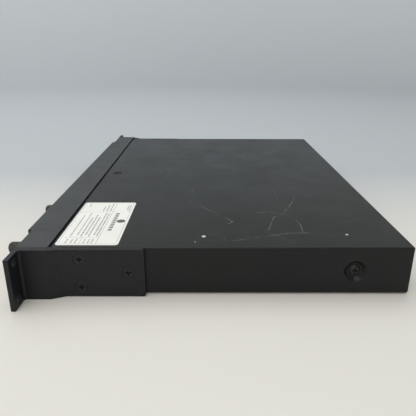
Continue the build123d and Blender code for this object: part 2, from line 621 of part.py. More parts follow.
def thumb_springs():
    """The two coil springs inside the knobs, between each knob and its ferrule."""
    start, end = THUMB_FLOOR + 0.4, FERRULE_FRONT - 0.35
    turns, mean, wire = 4.0, 3.2, 0.3
    pieces = []
    for x in thumb_columns():
        path = Helix(pitch=(end - start) / turns, height=end - start, radius=mean)
        coil = sweep(Plane(origin=path @ 0, z_dir=path % 0) * Circle(wire), path=path, is_frenet=True)
        pieces.append(Pos(x, end, THUMB_Z) * Rot(90, 0, 0) * coil)
    return group(pieces)


def module_guides():
    """The two folded rails on the tray that the module's carrier slides along."""
    x0, x1 = module_span(CARRIER_WIDTH)
    rear = MODULE_REAR + 1
    rail = block(0, 1.2, 5.0, rear, SHEET, 21.0)
    rail += block(0, 7.0, 5.0, rear, 3.6, CARRIER_FLOOR - 0.3)
    rail += block(-8, 1.0, 5.0, rear, SHEET, 2 * SHEET)
    return group([Pos(x0 - 1.5, 0, 0) * rail, Pos(x1 + 1.5, 0, 0) * mirror(rail, about=Plane.YZ)])


def module_socket():
    """The main board's socket for the module's edge connector."""
    y0 = MODULE_REAR + 10
    body = block(MODULE_CENTRE - 26, MODULE_CENTRE + 26, y0, y0 + 12, BOARD_TOP, 15.0)
    return body - block(MODULE_CENTRE - 21.5, MODULE_CENTRE + 21.5, y0 - 1, y0 + 6.5,
                        MODULE_BOARD_Z - 0.3, CAGE_Z + 0.3)


# ---------------------------------------------------------------- fans
def fan_rear(size):
    """Where a fan's rear face stands: on the rear panel, or inside the supply's case."""
    if size == FAN_SIZE:
        return PANEL_INNER - FIT_GAP
    return SUPPLY_Y[1] - SUPPLY_SHEET - FIT_GAP


def fan_frame(x, z, size):
    """A square fan frame with its round duct, a rear spider and the motor's bearing seat."""
    y1 = fan_rear(size)
    y0 = y1 - FAN_DEPTH
    half = size / 2
    frame = block(-half, half, y0, y1, -half, half)
    frame = fillet(frame.edges().filter_by(Axis.Y), 3.0)
    frame -= rod_y(0, 0, half - 1.2, y0 - 1, y1 + 1)
    seat = rod_y(0, 0, 9.6, y0, y0 + 3)
    spider = block(-half + 0.6, half - 0.6, y0, y0 + 2, -1.2, 1.2)
    spider += block(-1.2, 1.2, y0, y0 + 2, -half + 0.6, half - 0.6)
    frame += seat + spider
    frame -= rod_y(0, 0, 1.55, y0 - 1, y0 + 5)
    frame = cut_all(frame, [rod_y(a * (half - 4), b * (half - 4), 1.7, y0 - 1, y1 + 1)
                            for a in (-1, 1) for b in (-1, 1)])
    return Pos(x, 0, z) * frame


def fan_rotor(x, z, size):
    """A fan rotor: a domed hub on its spindle and seven pitched blades."""
    y1 = fan_rear(size)
    y0 = y1 - FAN_DEPTH
    tip, hub = size / 2 - 1.9, 9.6
    hub_y0, hub_y1 = y0 + 3.6, y1 - 1.4
    middle = (hub_y0 + hub_y1) / 2
    body = rod_y(0, 0, hub, hub_y0, hub_y1)
    body = fillet(body.edges().group_by(Axis.Y)[-1], 1.2)
    body += rod_y(0, 0, 1.5, y0 + 0.3, hub_y0 + 0.5)
    blade = Pos((tip + hub) / 2 + 0.5, 0, 0) * Rot(38, 0, 0) * Box(tip - hub + 3.4, 15.0, 1.1)
    blade = Pos(0, middle, 0) * blade
    ring = rod_y(0, 0, tip, hub_y0 + 0.3, hub_y1 - 0.6) - rod_y(0, 0, hub - 1.0, hub_y0 - 1, hub_y1 + 1)
    blade = blade & ring
    body += [Rot(0, 360 / 7 * n, 0) * blade for n in range(7)]
    return Pos(x, 0, z) * body


def fan_screws():
    """The twelve screws that hold the case fans to the rear panel."""
    screw = pan_screw(2.9, 1.4, 1.5, 6.5)
    return group(to_rear(x + a, FAN_Z + b, PANEL_REAR) * screw
                 for x in FAN_COLUMNS for a in (-16, 16) for b in (-16, 16))


# ---------------------------------------------------------------- power supply
def supply_case():
    """The power supply's closed steel case, pierced for the inlet, the switch, its fan and its air."""
    x0, x1 = SUPPLY_X
    y0, y1 = SUPPLY_Y
    z0, z1 = SUPPLY_Z
    case = block(x0, x1, y0, y1, z0, z1)
    case -= block(x0 + SUPPLY_SHEET, x1 - SUPPLY_SHEET, y0 + SUPPLY_SHEET, y1 - SUPPLY_SHEET,
                  z0 + SUPPLY_SHEET, z1 - SUPPLY_SHEET)
    tools = [block(INLET_X - 13.7, INLET_X + 13.7, y1 - 2, y1 + 1, SERVICE_Z - 10.0, SERVICE_Z + 10.0),
             block(ROCKER_X - 6.3, ROCKER_X + 6.3, y1 - 2, y1 + 1, SERVICE_Z - 9.9, SERVICE_Z + 9.9),
             ring_guard(SUPPLY_FAN_X, SERVICE_Z, y1 - 2, y1 + 1)]
    tools += [block(x, x + 3, y0 - 1, y0 + 2, 8, 34) for x in range(-200, -112, 6)]
    return cut_all(case, tools)


def supply_board():
    """The power supply's board with its transformer, reservoir capacitors and heat spreaders."""
    x0, x1 = SUPPLY_X[0] + 4, SUPPLY_X[1] - 4
    board = block(x0, x1, SUPPLY_Y[0] + 4, SUPPLY_Y[1] - 34, 6.0, 7.6)
    board += block(x0 + 10, x0 + 42, SUPPLY_Y[0] + 46, SUPPLY_Y[0] + 78, 7.6, 32.0)
    board += block(x0 + 52, x0 + 55, SUPPLY_Y[0] + 30, SUPPLY_Y[0] + 110, 7.6, 34.0)
    board += block(x0 + 84, x0 + 87, SUPPLY_Y[0] + 30, SUPPLY_Y[0] + 110, 7.6, 34.0)
    for y in (SUPPLY_Y[0] + 22, SUPPLY_Y[0] + 94):
        board += rod_z(x0 + 24, y, 11.0, 7.6, 33.0)
    for x in (x0 + 6, x1 - 6):
        for y in (SUPPLY_Y[0] + 12, SUPPLY_Y[1] - 42):
            board += rod_z(x, y, 2.5, SUPPLY_Z[0] + SUPPLY_SHEET, 6.0)
    return board


def power_inlet():
    """The three-pin appliance inlet: a flanged shell with a shaped socket."""
    y1 = PANEL_REAR + 0.6
    flange = block(INLET_X - 15.4, INLET_X + 15.4, SUPPLY_Y[1], y1, SERVICE_Z - 12.0, SERVICE_Z + 12.0)
    flange = fillet(flange.edges().filter_by(Axis.Y), 2.0)
    shell = flange + block(INLET_X - 13.6, INLET_X + 13.6, y1 - 22, y1 - 1, SERVICE_Z - 9.9, SERVICE_Z + 9.9)
    socket = block(INLET_X - 12.2, INLET_X + 12.2, y1 - 17, y1 + 1, SERVICE_Z - 8.4, SERVICE_Z + 8.4)
    corners = socket.edges().filter_by(Axis.Y).group_by(Axis.Z)[-1]
    return shell - chamfer(corners, 4.0)


def inlet_pins():
    """The inlet's three flat pins."""
    y1 = PANEL_REAR + 0.6
    places = ((-7.0, -1.6), (0.0, 2.2), (7.0, -1.6))
    return group(block(INLET_X + a - 1.0, INLET_X + a + 1.0, y1 - 17, y1 - 2.5, SERVICE_Z + b - 2.0,
                       SERVICE_Z + b + 2.0) for a, b in places)


def rocker_frame():
    """The frame of the power switch, with the holes for the rocker's axle."""
    y1 = PANEL_REAR + 0.3
    y, z = rocker_pivot()
    frame = block(ROCKER_X - 7.4, ROCKER_X + 7.4, SUPPLY_Y[1], y1, SERVICE_Z - 11.2, SERVICE_Z + 11.2)
    frame = fillet(frame.edges().filter_by(Axis.Y), 1.4)
    frame += block(ROCKER_X - 6.2, ROCKER_X + 6.2, y1 - 15, y1 - 1, SERVICE_Z - 9.8, SERVICE_Z + 9.8)
    frame -= block(ROCKER_X - 4.9, ROCKER_X + 4.9, y1 - 12, y1 + 1, SERVICE_Z - 8.9, SERVICE_Z + 8.9)
    return frame - rod_x(y, z, ROCKER_AXLE + 0.06, ROCKER_X - 5.7, ROCKER_X + 5.7)


def rocker_pivot():
    """The point that the rocker turns about, as (y, z)."""
    return PANEL_REAR - 2.4, SERVICE_Z


def power_rocker():
    """The rocker, switched off: a dished lever on a stub axle."""
    y, z = rocker_pivot()
    profile = Polyline((3.9, -8.0), (-0.4, -8.0), (-4.6, -2.6), (-4.6, 2.6), (-0.4, 8.0), (3.9, 8.0),
                       (2.5, 0.0), close=True)
    lever = extrude(Plane.YZ * make_face(profile), 4.6, both=True)
    lever += rod_x(0, 0, ROCKER_AXLE, -5.5, 5.5)
    return Pos(ROCKER_X, y, z) * Rot(-ROCKER_TILT, 0, 0) * lever


# ---------------------------------------------------------------- electronics
def board_posts():
    """Where the main board's posts stand, as (x, y)."""
    return ((-50, 16), (64, 26), (-50, 104), (62, 104), (-92, 138), (-92, 276), (50, 276), (196, 138), (196, 276))


def board_standoffs():
    """The posts swaged into the tray's floor that carry the main board."""
    post = turned([(0, 0), (2.0, 0), (2.0, SHEET), (3.0, SHEET), (3.0, BOARD_UNDERSIDE), (0, BOARD_UNDERSIDE)])
    return group(Pos(x, y, 0) * post for x, y in board_posts())


def board_screws():
    """The screws that hold the main board on its posts."""
    head = turned([(0, 0), (3.0, 0), (3.0, 1.2), (1.5, 1.9), (0, 1.9)])
    return group(Pos(x, y, BOARD_TOP) * head for x, y in board_posts())


def main_board():
    """The T-shaped main board: a stem under the front sockets and a wide rear half."""
    board = block(-56, 70, 8, 120, BOARD_UNDERSIDE, BOARD_TOP)
    return board + block(-100, 204, 112, 286, BOARD_UNDERSIDE, BOARD_TOP)


def board_parts():
    """What is soldered or socketed on the main board: chips, coils, capacitors, headers, the clock's
    battery and the reset switch."""
    pieces = [block(10, 44, 60, 94, BOARD_TOP, BOARD_TOP + 3), block(-30, -6, 62, 86, BOARD_TOP, BOARD_TOP + 2.5)]
    pieces += [block(*PROCESSOR_X, *PROCESSOR_Y, BOARD_TOP, HEAT_SINK_Z - 0.1)]
    pieces += [block(-66 + 14 * n, -56 + 14 * n, 134, 144, BOARD_TOP, BOARD_TOP + 7) for n in range(5)]
    pieces += [rod_z(-78 + 12 * n, 262, 4.0, BOARD_TOP, BOARD_TOP + 10) for n in range(6)]
    pieces += [block(-98, -88, 158, 214, BOARD_TOP, HEADER_TOP)]
    pieces += [rod_z(130, 170, 11.5, BOARD_TOP, BOARD_TOP + 2) + rod_z(130, 170, 10.0, BOARD_TOP + 1, BOARD_TOP + 5)]
    return group(pieces + [reset_switch()])


def heat_sink():
    """The processor's finned heat sink."""
    x0, x1, y0, y1 = -44.0, 40.0, 158.0, 246.0
    sink = block(x0, x1, y0, y1, HEAT_SINK_Z, HEAT_SINK_Z + 4)
    return sink + [block(x0 + 3.0 * n, x0 + 3.0 * n + 0.8, y0, y1, HEAT_SINK_Z + 3.9, 38.5) for n in range(28)]


def memory_sockets():
    """The two upright memory sockets, with their end latches."""
    return group(block(62 + 14 * n, 69 + 14 * n, 136, 276, BOARD_TOP, BOARD_TOP + 9)
                 - block(64.6 + 14 * n, 66.4 + 14 * n, 139, 273, BOARD_TOP + 2, BOARD_TOP + 20) for n in range(2))


def memory_modules():
    """The two memory modules, each a board with chips on both faces."""
    pieces = []
    for n in range(2):
        x = 65.5 + 14 * n
        card = block(x - 0.6, x + 0.6, 139.4, 272.6, BOARD_TOP + 2.2, BOARD_TOP + 30)
        for m in range(8):
            y = 146 + 15.6 * m
            card += block(x - 1.7, x + 1.7, y, y + 11, BOARD_TOP + 14, BOARD_TOP + 24)
        pieces.append(card)
    return group(pieces)


def storage_drive():
    """The solid-state drive that holds the system and its logs."""
    drive = block(-204, -134, 34, 134, 14.0, 21.0)
    return fillet(drive.edges().filter_by(Axis.Z), 2.0)


def drive_bracket():
    """The folded bracket under the drive."""
    bracket = block(-206, -132, 40, 128, 12.8, 14.0)
    for x in (-206, -133.2):
        bracket += block(x, x + 1.2, 40, 128, SHEET, 13.5)
    for x0, x1 in ((-212, -205.5), (-132.5, -124)):
        bracket += block(x0, x1, 46, 60, SHEET, SHEET + 1.2) + block(x0, x1, 108, 122, SHEET, SHEET + 1.2)
    return bracket


def harness_route():
    """The points that the supply's harness turns at, from its case to the main board's header."""
    x, y = SUPPLY_X[1] - 9.0, SUPPLY_Y[0]
    return [(x, y - 0.05, 14.0), (x, y - 17, 14.5), (x + 6, y - 33, 17.0), (x + 18, y - 37, 20.5), (x + 26, y - 26, 24.5),
            (-93.0, y - 9, 28.5), (-93.0, y + 12, 31.5), (-93.0, y + 31, 31.5), (-93.0, y + 42, 27.5),
            (-93.0, y + 42, HEADER_TOP + 0.02)]


def bend_radii(points):
    """The largest round bend that the two runs at each turning point leave room for."""
    radii = []
    for before, corner, after in zip(points, points[1:], points[2:]):
        run_in, run_out = Vector(*corner) - Vector(*before), Vector(*after) - Vector(*corner)
        half_turn = math.radians(run_in.get_angle(run_out)) / 2
        radii.append(round(0.45 * min(run_in.length, run_out.length) / math.tan(half_turn), 1))
    return radii


def supply_harness():
    """The power supply's wires to the main board, tied into one round bundle."""
    points = harness_route()
    path = FilletPolyline(*points, radius=bend_radii(points))
    section = Plane(origin=path @ 0, z_dir=path % 0) * Circle(HARNESS_RADIUS)
    bundle = sweep(section, path=path)
    print("harness bends", bend_radii(points), "volume ratio", bundle.volume / (section.area * path.length))
    return bundle


def ground_screw():
    """The earthing screw and its washer on the rear panel."""
    washer = Cylinder(4.6, 0.7) - Cylinder(1.9, 2)
    return group([to_rear(*GROUND_SCREW, PANEL_REAR + 0.7) * pan_screw(3.6, 1.7, 1.8, 6.0),
                  to_rear(*GROUND_SCREW, PANEL_REAR + 0.35) * washer])


# ---------------------------------------------------------------- the assembly
def casing_nodes():
    """The shells, the ears and what fastens them."""
    return {
        "base_tray": base_tray(),
        "top_cover": top_cover(),
        "rear_panel": rear_panel(),
        "front_panel": front_panel(),
        "bezel_centre": bezel_centre(),
        "bezel_end_cap_left": bezel_end_cap(-1),
        "bezel_end_cap_right": bezel_end_cap(1),
        "rack_ear_left": rack_ear(-1),
        "rack_ear_right": rack_ear(1),
        "ear_screws": ear_screws(),
        "cover_side_screws": cover_side_screws(),
        "cover_screws": cover_screws(),
        "ground_screw": ground_screw(),
        "product_label": product_label(),
    }


def front_nodes():
    """The controls and sockets on the front."""
    left, right = KEY_COLUMNS
    low, high = KEY_ROWS
    return {
        "display_window": display_window(),
        "display_module": display_module(),
        "key_up": key(left, high),
        "key_down": key(left, low),
        "key_enter": key(right, high),
        "key_back": key(right, low),
        "key_board": key_board(),
        "lamp_pipes": lamp_pipes(),
        "lan_jacks": lan_jacks(),
        "service_jacks": service_jacks(),
        "usb_sockets": usb_sockets(),
        "reset_button": reset_button(),
    }


def module_nodes():
    """The expansion module and what it slides into."""
    left, right = thumb_columns()
    return {
        "module_faceplate": module_faceplate(),
        "module_carrier": module_carrier(),
        "module_board": module_board(),
        "module_cages": module_cages(),
        "thumb_clip_left": thumb_clip(left),
        "thumb_clip_right": thumb_clip(right),
        "thumbscrew_left": thumbscrew(left),
        "thumbscrew_right": thumbscrew(right),
        "thumb_springs": thumb_springs(),
        "module_guides": module_guides(),
        "module_socket": module_socket(),
    }


def power_nodes():
    """The power supply, its switch and inlet, and every fan."""
    nodes = {
        "supply_case": supply_case(),
        "supply_board": supply_board(),
        "supply_harness": supply_harness(),
        "power_inlet": power_inlet(),
        "inlet_pins": inlet_pins(),
        "rocker_frame": rocker_frame(),
        "power_rocker": power_rocker(),
        "supply_fan_frame": fan_frame(SUPPLY_FAN_X, SERVICE_Z, SUPPLY_FAN_SIZE),
        "supply_fan_rotor": fan_rotor(SUPPLY_FAN_X, SERVICE_Z, SUPPLY_FAN_SIZE),
        "case_fan_frames": group(fan_frame(x, FAN_Z, FAN_SIZE) for x in FAN_COLUMNS),
        "fan_screws": fan_screws(),
    }
    for place, x in zip(("left", "centre", "right"), FAN_COLUMNS):
        nodes[f"case_fan_rotor_{place}"] = fan_rotor(x, FAN_Z, FAN_SIZE)
    return nodes


def board_nodes():
    """The electronics inside the case."""
    return {
        "board_standoffs": board_standoffs(),
        "board_screws": board_screws(),
        "main_board": main_board(),
        "board_parts": board_parts(),
        "heat_sink": heat_sink(),
        "memory_sockets": memory_sockets(),
        "memory_modules": memory_modules(),
        "storage_drive": storage_drive(),
        "drive_bracket": drive_bracket(),
    }


def main():
    os.makedirs("parts", exist_ok=True)
    nodes = casing_nodes() | front_nodes() | module_nodes() | power_nodes() | board_nodes()
    for name, shape in nodes.items():
        export_step(Pos(0, -ORIGIN_Y, 0) * shape, f"parts/{name}.step")
    print(len(nodes), "nodes; Y moved by", -ORIGIN_Y)


main()
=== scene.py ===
"""The looks of a rack-mount firewall appliance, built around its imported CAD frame.

Lengths are in metres in the frame's own axes: +X across the width, +Y from front to rear, +Z up.
Names ending in _MM are millimetres, for places that are easier to read that way.
"""

import json
import math
import random

import bmesh
import bpy
from mathutils import Matrix, Vector


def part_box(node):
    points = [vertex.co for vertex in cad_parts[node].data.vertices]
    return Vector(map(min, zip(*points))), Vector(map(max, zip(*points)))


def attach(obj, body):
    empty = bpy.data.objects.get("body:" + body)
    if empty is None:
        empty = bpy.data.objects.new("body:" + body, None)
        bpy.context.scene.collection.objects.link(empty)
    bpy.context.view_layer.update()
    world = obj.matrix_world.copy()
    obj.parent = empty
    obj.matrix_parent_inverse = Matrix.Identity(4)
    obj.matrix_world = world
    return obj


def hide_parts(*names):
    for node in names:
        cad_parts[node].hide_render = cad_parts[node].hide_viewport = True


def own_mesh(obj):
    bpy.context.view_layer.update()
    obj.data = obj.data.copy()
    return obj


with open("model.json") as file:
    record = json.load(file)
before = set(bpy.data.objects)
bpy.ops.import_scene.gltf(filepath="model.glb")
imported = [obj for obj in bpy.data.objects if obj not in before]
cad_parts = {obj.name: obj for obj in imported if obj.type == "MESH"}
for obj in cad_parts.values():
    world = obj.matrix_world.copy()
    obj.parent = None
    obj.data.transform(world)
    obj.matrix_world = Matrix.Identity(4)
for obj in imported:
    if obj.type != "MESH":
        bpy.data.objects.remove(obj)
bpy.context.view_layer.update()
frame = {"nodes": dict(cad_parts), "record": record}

MM = 0.001
RECORD = frame["record"]
MOUNTS = {mount["name"]: Vector(mount["pos_m"]) for mount in RECORD["mounts"]}
EAR_FRONT = MOUNTS["rack_flange"].y
COVER_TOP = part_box("top_cover")[1].z
SLOT_OF = {part["node"]: part["material_slot"] for part in RECORD["subparts"]}


def from_ears(x_mm, y_mm, z_mm=0.0):
    """A point given in millimetres with Y counted from the front face of the rack ears."""
    return Vector((x_mm * MM, EAR_FRONT + y_mm * MM, z_mm * MM))


# ---------------------------------------------------------------- materials: the small tools
# The colour sockets of a Mix node, which shares its names between several kinds of value.
MIX_FACTOR, MIX_A, MIX_B, MIX_RESULT = 0, 6, 7, 2


class Finish:
    """One node-based material, with a short call for each kind of node it is made of."""

    def __init__(self, name, colour, roughness, metallic=0.0, **fixed):
        self.material = bpy.data.materials.new(name)
        self.material.use_nodes = True
        self.tree = self.material.node_tree
        self.shader = self.tree.nodes["Principled BSDF"]
        self.normal = None
        self.place = None
        self.put("Base Color", (*colour, 1.0))
        self.put("Roughness", roughness)
        self.put("Metallic", metallic)
        for socket, value in fixed.items():
            self.put(socket.replace("_", " "), value)

    def put(self, socket, value):
        """Sets one of the shader's sockets, to a number or from another node."""
        self.feed(value, self.shader.inputs[socket])

    def feed(self, value, socket):
        """Sets any node's socket, to a number or from another node."""
        if isinstance(value, bpy.types.NodeSocket):
            self.tree.links.new(value, socket)
        elif isinstance(value, (tuple, list)) and len(value) == 3 and socket.type == "RGBA":
            socket.default_value = (*value, 1.0)
        else:
            socket.default_value = value

    def node(self, kind, inputs=(), **settings):
        """A new node of this kind, with its sockets fed and its settings set."""
        made = self.tree.nodes.new("ShaderNode" + kind)
        for key, value in settings.items():
            setattr(made, key, value)
        for key, value in dict(inputs).items():
            self.feed(value, made.inputs[key])
        return made

    def here(self):
        """The surface point, in metres."""
        if self.place is None:
            self.place = self.node("TexCoord").outputs["Object"]
        return self.place

    def stretched(self, x, y, z):
        """The surface point with its axes scaled."""
        return self.node("Mapping", {"Vector": self.here(), "Scale": (x, y, z)}).outputs["Vector"]

    def noise(self, scale, detail=2.0, roughness=0.5, where=None, distortion=0.0):
        inputs = {"Vector": where or self.here(), "Scale": scale, "Detail": detail,
                  "Roughness": roughness, "Distortion": distortion}
        return self.node("TexNoise", inputs).outputs["Fac"]

    def cells(self, scale, feature="F1", where=None, output="Distance", randomness=1.0):
        inputs = {"Vector": where or self.here(), "Scale": scale, "Randomness": randomness}
        return self.node("TexVoronoi", inputs, feature=feature).outputs[output]

    def math(self, operation, a, b=0.0):
        made = self.node("Math", operation=operation)
        self.feed(a, made.inputs[0])
        self.feed(b, made.inputs[1])
        return made.outputs[0]

    def remap(self, value, low, high, to_low=0.0, to_high=1.0):
        inputs = {"Value": value, "From Min": low, "From Max": high, "To Min": to_low, "To Max": to_high}
        return self.node("MapRange", inputs, clamp=True).outputs["Result"]

    def mix(self, factor, a, b):
        """Colour a turning into colour b."""
        made = self.node("Mix", data_type="RGBA")
        self.feed(factor, made.inputs[MIX_FACTOR])
        self.feed(a, made.inputs[MIX_A])
        self.feed(b, made.inputs[MIX_B])
        return made.outputs[MIX_RESULT]

    def split(self, where=None):
        """The x, y and z of the surface point."""
        made = self.node("SeparateXYZ", {"Vector": where or self.here()})
        return made.outputs[0], made.outputs[1], made.outputs[2]

    def bump(self, height, distance, strength=1.0):
        """Adds relief on top of any relief that is already there."""
        inputs = {"Height": height, "Distance": distance, "Strength": strength}
        if self.normal is not None:
            inputs["Normal"] = self.normal
        self.normal = self.node("Bump", inputs).outputs["Normal"]
        self.put("Normal", self.normal)

    def round_edges(self, radius):
        """Softens edges, and gives how near one the point is, from 0 to 1."""
        soft = self.node("Bevel", {"Radius": radius}, samples=4).outputs["Normal"]
        flat = self.node("NewGeometry").outputs["Normal"]
        likeness = self.node("VectorMath", {0: soft, 1: flat}, operation="DOT_PRODUCT").outputs["Value"]
        self.normal = soft
        self.put("Normal", soft)
        away_from_edge, on_edge = 0.999, 0.93
        return self.remap(likeness, away_from_edge, on_edge)

    def near_line(self, a, b):
        """How far the point is from the line a to b on the cover, in metres."""
        a, b = Vector((a.x, a.y, 0)), Vector((b.x, b.y, 0))
        run = b - a
        flat = self.node("VectorMath", {0: self.here(), 1: (1, 1, 0)}, operation="MULTIPLY").outputs[0]
        out = self.node("VectorMath", {0: flat, 1: a}, operation="SUBTRACT").outputs[0]
        share = self.node("VectorMath", {0: out, 1: run / run.length_squared},
                          operation="DOT_PRODUCT").outputs["Value"]
        along = self.remap(share, 0.0, 1.0)
        foot = self.node("VectorMath", {0: run, "Scale": along}, operation="SCALE").outputs[0]
        return self.node("VectorMath", {0: out, 1: foot}, operation="DISTANCE").outputs["Value"]


# ---------------------------------------------------------------- materials: the finishes
# Scuffs on the cover, as lines of points in millimetres: across the width, and back from the ears' front.
DEEP_SCRATCHES_MM = (
    ((101, 131), (118, 143), (141, 160), (161, 174), (166, 170)),
    ((203, 172), (195, 196), (187, 220), (186, 239)),
    ((138, 199), (136, 210), (140, 218), (144, 225), (155, 232), (168, 234), (183, 233)),
    ((180, 204), (166, 208), (152, 212), (140, 218)),
    ((95, 242), (112, 236), (124, 230), (138, 224)),
)
FAINT_SCRATCHES_MM = (
    ((48, 136), (66, 135), (86, 135), (96, 140)),
    ((175, 250), (163, 274), (143, 311)),
    ((94, 198), (106, 200), (119, 199)),
    ((138, 199), (146, 205)),
    ((203, 139), (195, 146), (189, 158)),
    ((201, 148), (205, 157)),
    ((193, 165), (207, 165)),
    ((52, 225), (76, 224), (100, 224)),
    ((207, 209), (214, 224)),
    ((182, 200), (196, 212), (210, 224)),
    ((192, 253), (190, 262)),
    ((190, 296), (192, 302)),
    ((-60, 90), (-12, 104), (31, 99)),
    ((-150, 212), (-118, 236), (-96, 239)),
    ((-30, 270), (12, 262), (40, 281)),
)
CHIPS_MM = ((194, 148, 1.7), (190, 269, 1.1), (-195, 148, 0.9), (205, 141, 0.6))


def scratch_mask(finish, lines, width, fade_scale, keep):
    """White along the given lines, within a width in metres, broken up as real scratches are."""
    nearest = None
    for line in lines:
        points = [from_ears(x, y) for x, y in line]
        for a, b in zip(points, points[1:]):
            gap = finish.near_line(a, b)
            nearest = gap if nearest is None else finish.math("MINIMUM", nearest, gap)
    wander = 0.0011
    shake = finish.math("MULTIPLY", finish.noise(420, 3.0), wander)
    nearest = finish.math("ADD", nearest, finish.math("SUBTRACT", shake, wander / 2))
    drawn = finish.remap(nearest, width, width * 0.35)
    return finish.math("MULTIPLY", drawn, finish.remap(finish.noise(fade_scale, 3.0), *keep))


def chip_mask(finish):
    """White where the paint is chipped."""
    nearest = None
    for x, y, radius in CHIPS_MM:
        spot = from_ears(x, y, COVER_TOP / MM)
        away = finish.node("VectorMath", {0: finish.here(), 1: spot}, operation="DISTANCE").outputs["Value"]
        away = finish.math("SUBTRACT", away, radius * MM)
        nearest = away if nearest is None else finish.math("MINIMUM", nearest, away)
    ragged = finish.math("MULTIPLY", finish.noise(900, 3.0), 0.0012)
    return finish.remap(finish.math("ADD", nearest, ragged), 0.0009, 0.0002)


def hair_scratches(finish, scale, turn, width):
    """A field of long, thin, faint lines in one direction."""
    turned = finish.node("Mapping", {"Vector": finish.here(), "Rotation": (0, 0, turn),
                                     "Scale": (scale, scale * 0.05, scale)}).outputs["Vector"]
    line = finish.cells(1.0, "DISTANCE_TO_EDGE", turned)
    gate = finish.remap(finish.noise(30, 2.0, where=turned), 0.55, 0.75)
    return finish.math("MULTIPLY", finish.remap(line, width, 0.0), gate)


def cover_paint():
    """Dark powder coat: clouded, with a painted warm reflection towards the far corner on top, scratched and
    chipped there.
    """
    finish = Finish("cover_paint", (0.01, 0.0105, 0.0105), 0.36, Specular_IOR_Level=0.27)
    edge = finish.round_edges(0.0006)
    top_only = finish.remap(finish.split()[2], COVER_TOP - 0.0004, COVER_TOP - 0.0001)
    cloud = finish.remap(finish.noise(9, 3.0), 0.35, 0.65)
    colour = finish.mix(cloud, (0.0062, 0.0067, 0.0082), (0.0076, 0.0077, 0.0084))
    x, y, _ = finish.split()
    # painted reflection: the top turns warmer towards the far corner, standing in for reflected warm light
    warm_reflection = finish.remap(finish.math("ADD", x, y), 0.0, 0.36)
    colour = finish.mix(finish.math("MULTIPLY", warm_reflection, top_only), colour, (0.0115, 0.0108, 0.0072))
    deep = scratch_mask(finish, DEEP_SCRATCHES_MM, 0.00055, 90, (0.38, 0.62))
    faint = scratch_mask(finish, FAINT_SCRATCHES_MM, 0.0005, 120, (0.42, 0.75))
    one_way, other_way = hair_scratches(finish, 38, 0.5, 0.012), hair_scratches(finish, 31, 1.9, 0.01)
    hair = finish.math("MAXIMUM", one_way, other_way)
    deep_tint, faint_tint, hair_tint = 0.55, 0.28, 0.05
    marks = finish.math("MAXIMUM", finish.math("MULTIPLY", deep, deep_tint),
                        finish.math("MULTIPLY", faint, faint_tint))
    marks = finish.math("MAXIMUM", marks, finish.math("MULTIPLY", hair, hair_tint))
    marks = finish.math("MULTIPLY", marks, top_only)
    colour = finish.mix(marks, colour, (0.34, 0.33, 0.29))
    colour = finish.mix(finish.math("MULTIPLY", edge, 0.08), colour, (0.06, 0.06, 0.06))
    colour = finish.mix(chip_mask(finish), colour, (0.72, 0.71, 0.64))
    finish.put("Base Color", colour)
    smear = finish.remap(finish.noise(22, 4.0, 0.6), 0.3, 0.7, 0.32, 0.40)
    finish.put("Roughness", smear)
    finish.bump(finish.noise(1300, 2.0), 0.00004, 0.5)
    return finish.material


def ear_paint():
    """A duller, bluer coat than the cover's, rubbed at the edges."""
    finish = Finish("ear_paint", (0.01, 0.01, 0.012), 0.5, Specular_IOR_Level=0.3)
    edge = finish.round_edges(0.0005)
    cloud = finish.remap(finish.noise(40, 4.0, 0.65), 0.3, 0.7)
    colour = finish.mix(cloud, (0.0085, 0.0092, 0.0125), (0.0105, 0.0102, 0.0132))
    rub = finish.math("MULTIPLY", edge, finish.remap(finish.noise(160, 3.0), 0.45, 0.7))
    finish.put("Base Color", finish.mix(finish.math("MULTIPLY", rub, 0.16), colour, (0.12, 0.12, 0.12)))
    finish.put("Roughness", finish.remap(finish.noise(300, 3.0), 0.3, 0.7, 0.44, 0.54))
    finish.bump(finish.noise(1500, 2.0), 0.00005, 0.6)
    return finish.material


def bezel_plastic():
    """Grey plastic with a fine leather grain."""
    finish = Finish("bezel_plastic", (0.03, 0.033, 0.035), 0.47)
    edge = finish.round_edges(0.0004)
    cloud = finish.remap(finish.noise(14, 3.0), 0.35, 0.65)
    colour = finish.mix(cloud, (0.019, 0.0208, 0.022), (0.022, 0.0232, 0.024))
    finish.put("Base Color", finish.mix(finish.math("MULTIPLY", edge, 0.06), colour, (0.12, 0.12, 0.12)))
    finish.put("Roughness", finish.remap(finish.noise(40, 4.0), 0.3, 0.7, 0.43, 0.52))
    finish.bump(finish.cells(1900), 0.00003, 0.55)
    return finish.material


def sheet_steel():
    """Galvanised sheet: soft crystal patches with a fine rolled grain."""
    finish = Finish("sheet_steel", (0.55, 0.56, 0.57), 0.38, metallic=1.0)
    patch = finish.cells(160, output="Color")
    grey = finish.node("RGBToBW", {"Color": patch}).outputs[0]
    grain = finish.noise(1.0, 2.0, where=finish.stretched(2200, 90, 2200))
    tone = finish.math("ADD", finish.math("MULTIPLY", grey, 0.5), finish.math("MULTIPLY", grain, 0.5))
    colour = finish.mix(finish.remap(tone, 0.2, 0.8), (0.46, 0.47, 0.48), (0.6, 0.61, 0.62))
    finish.put("Base Color", colour)
    finish.put("Roughness", finish.remap(tone, 0.2, 0.8, 0.3, 0.46))
    finish.bump(grain, 0.00001, 0.4)
    return finish.material


def plated_screw():
    finish = Finish("plated_screw", (0.62, 0.62, 0.6), 0.3, metallic=1.0)
    finish.round_edges(0.0002)
    tone = finish.remap(finish.noise(700, 3.0), 0.3, 0.7)
    finish.put("Base Color", finish.mix(tone, (0.5, 0.5, 0.49), (0.68, 0.68, 0.66)))
    finish.put("Roughness", finish.remap(tone, 0, 1, 0.25, 0.42))
    return finish.material


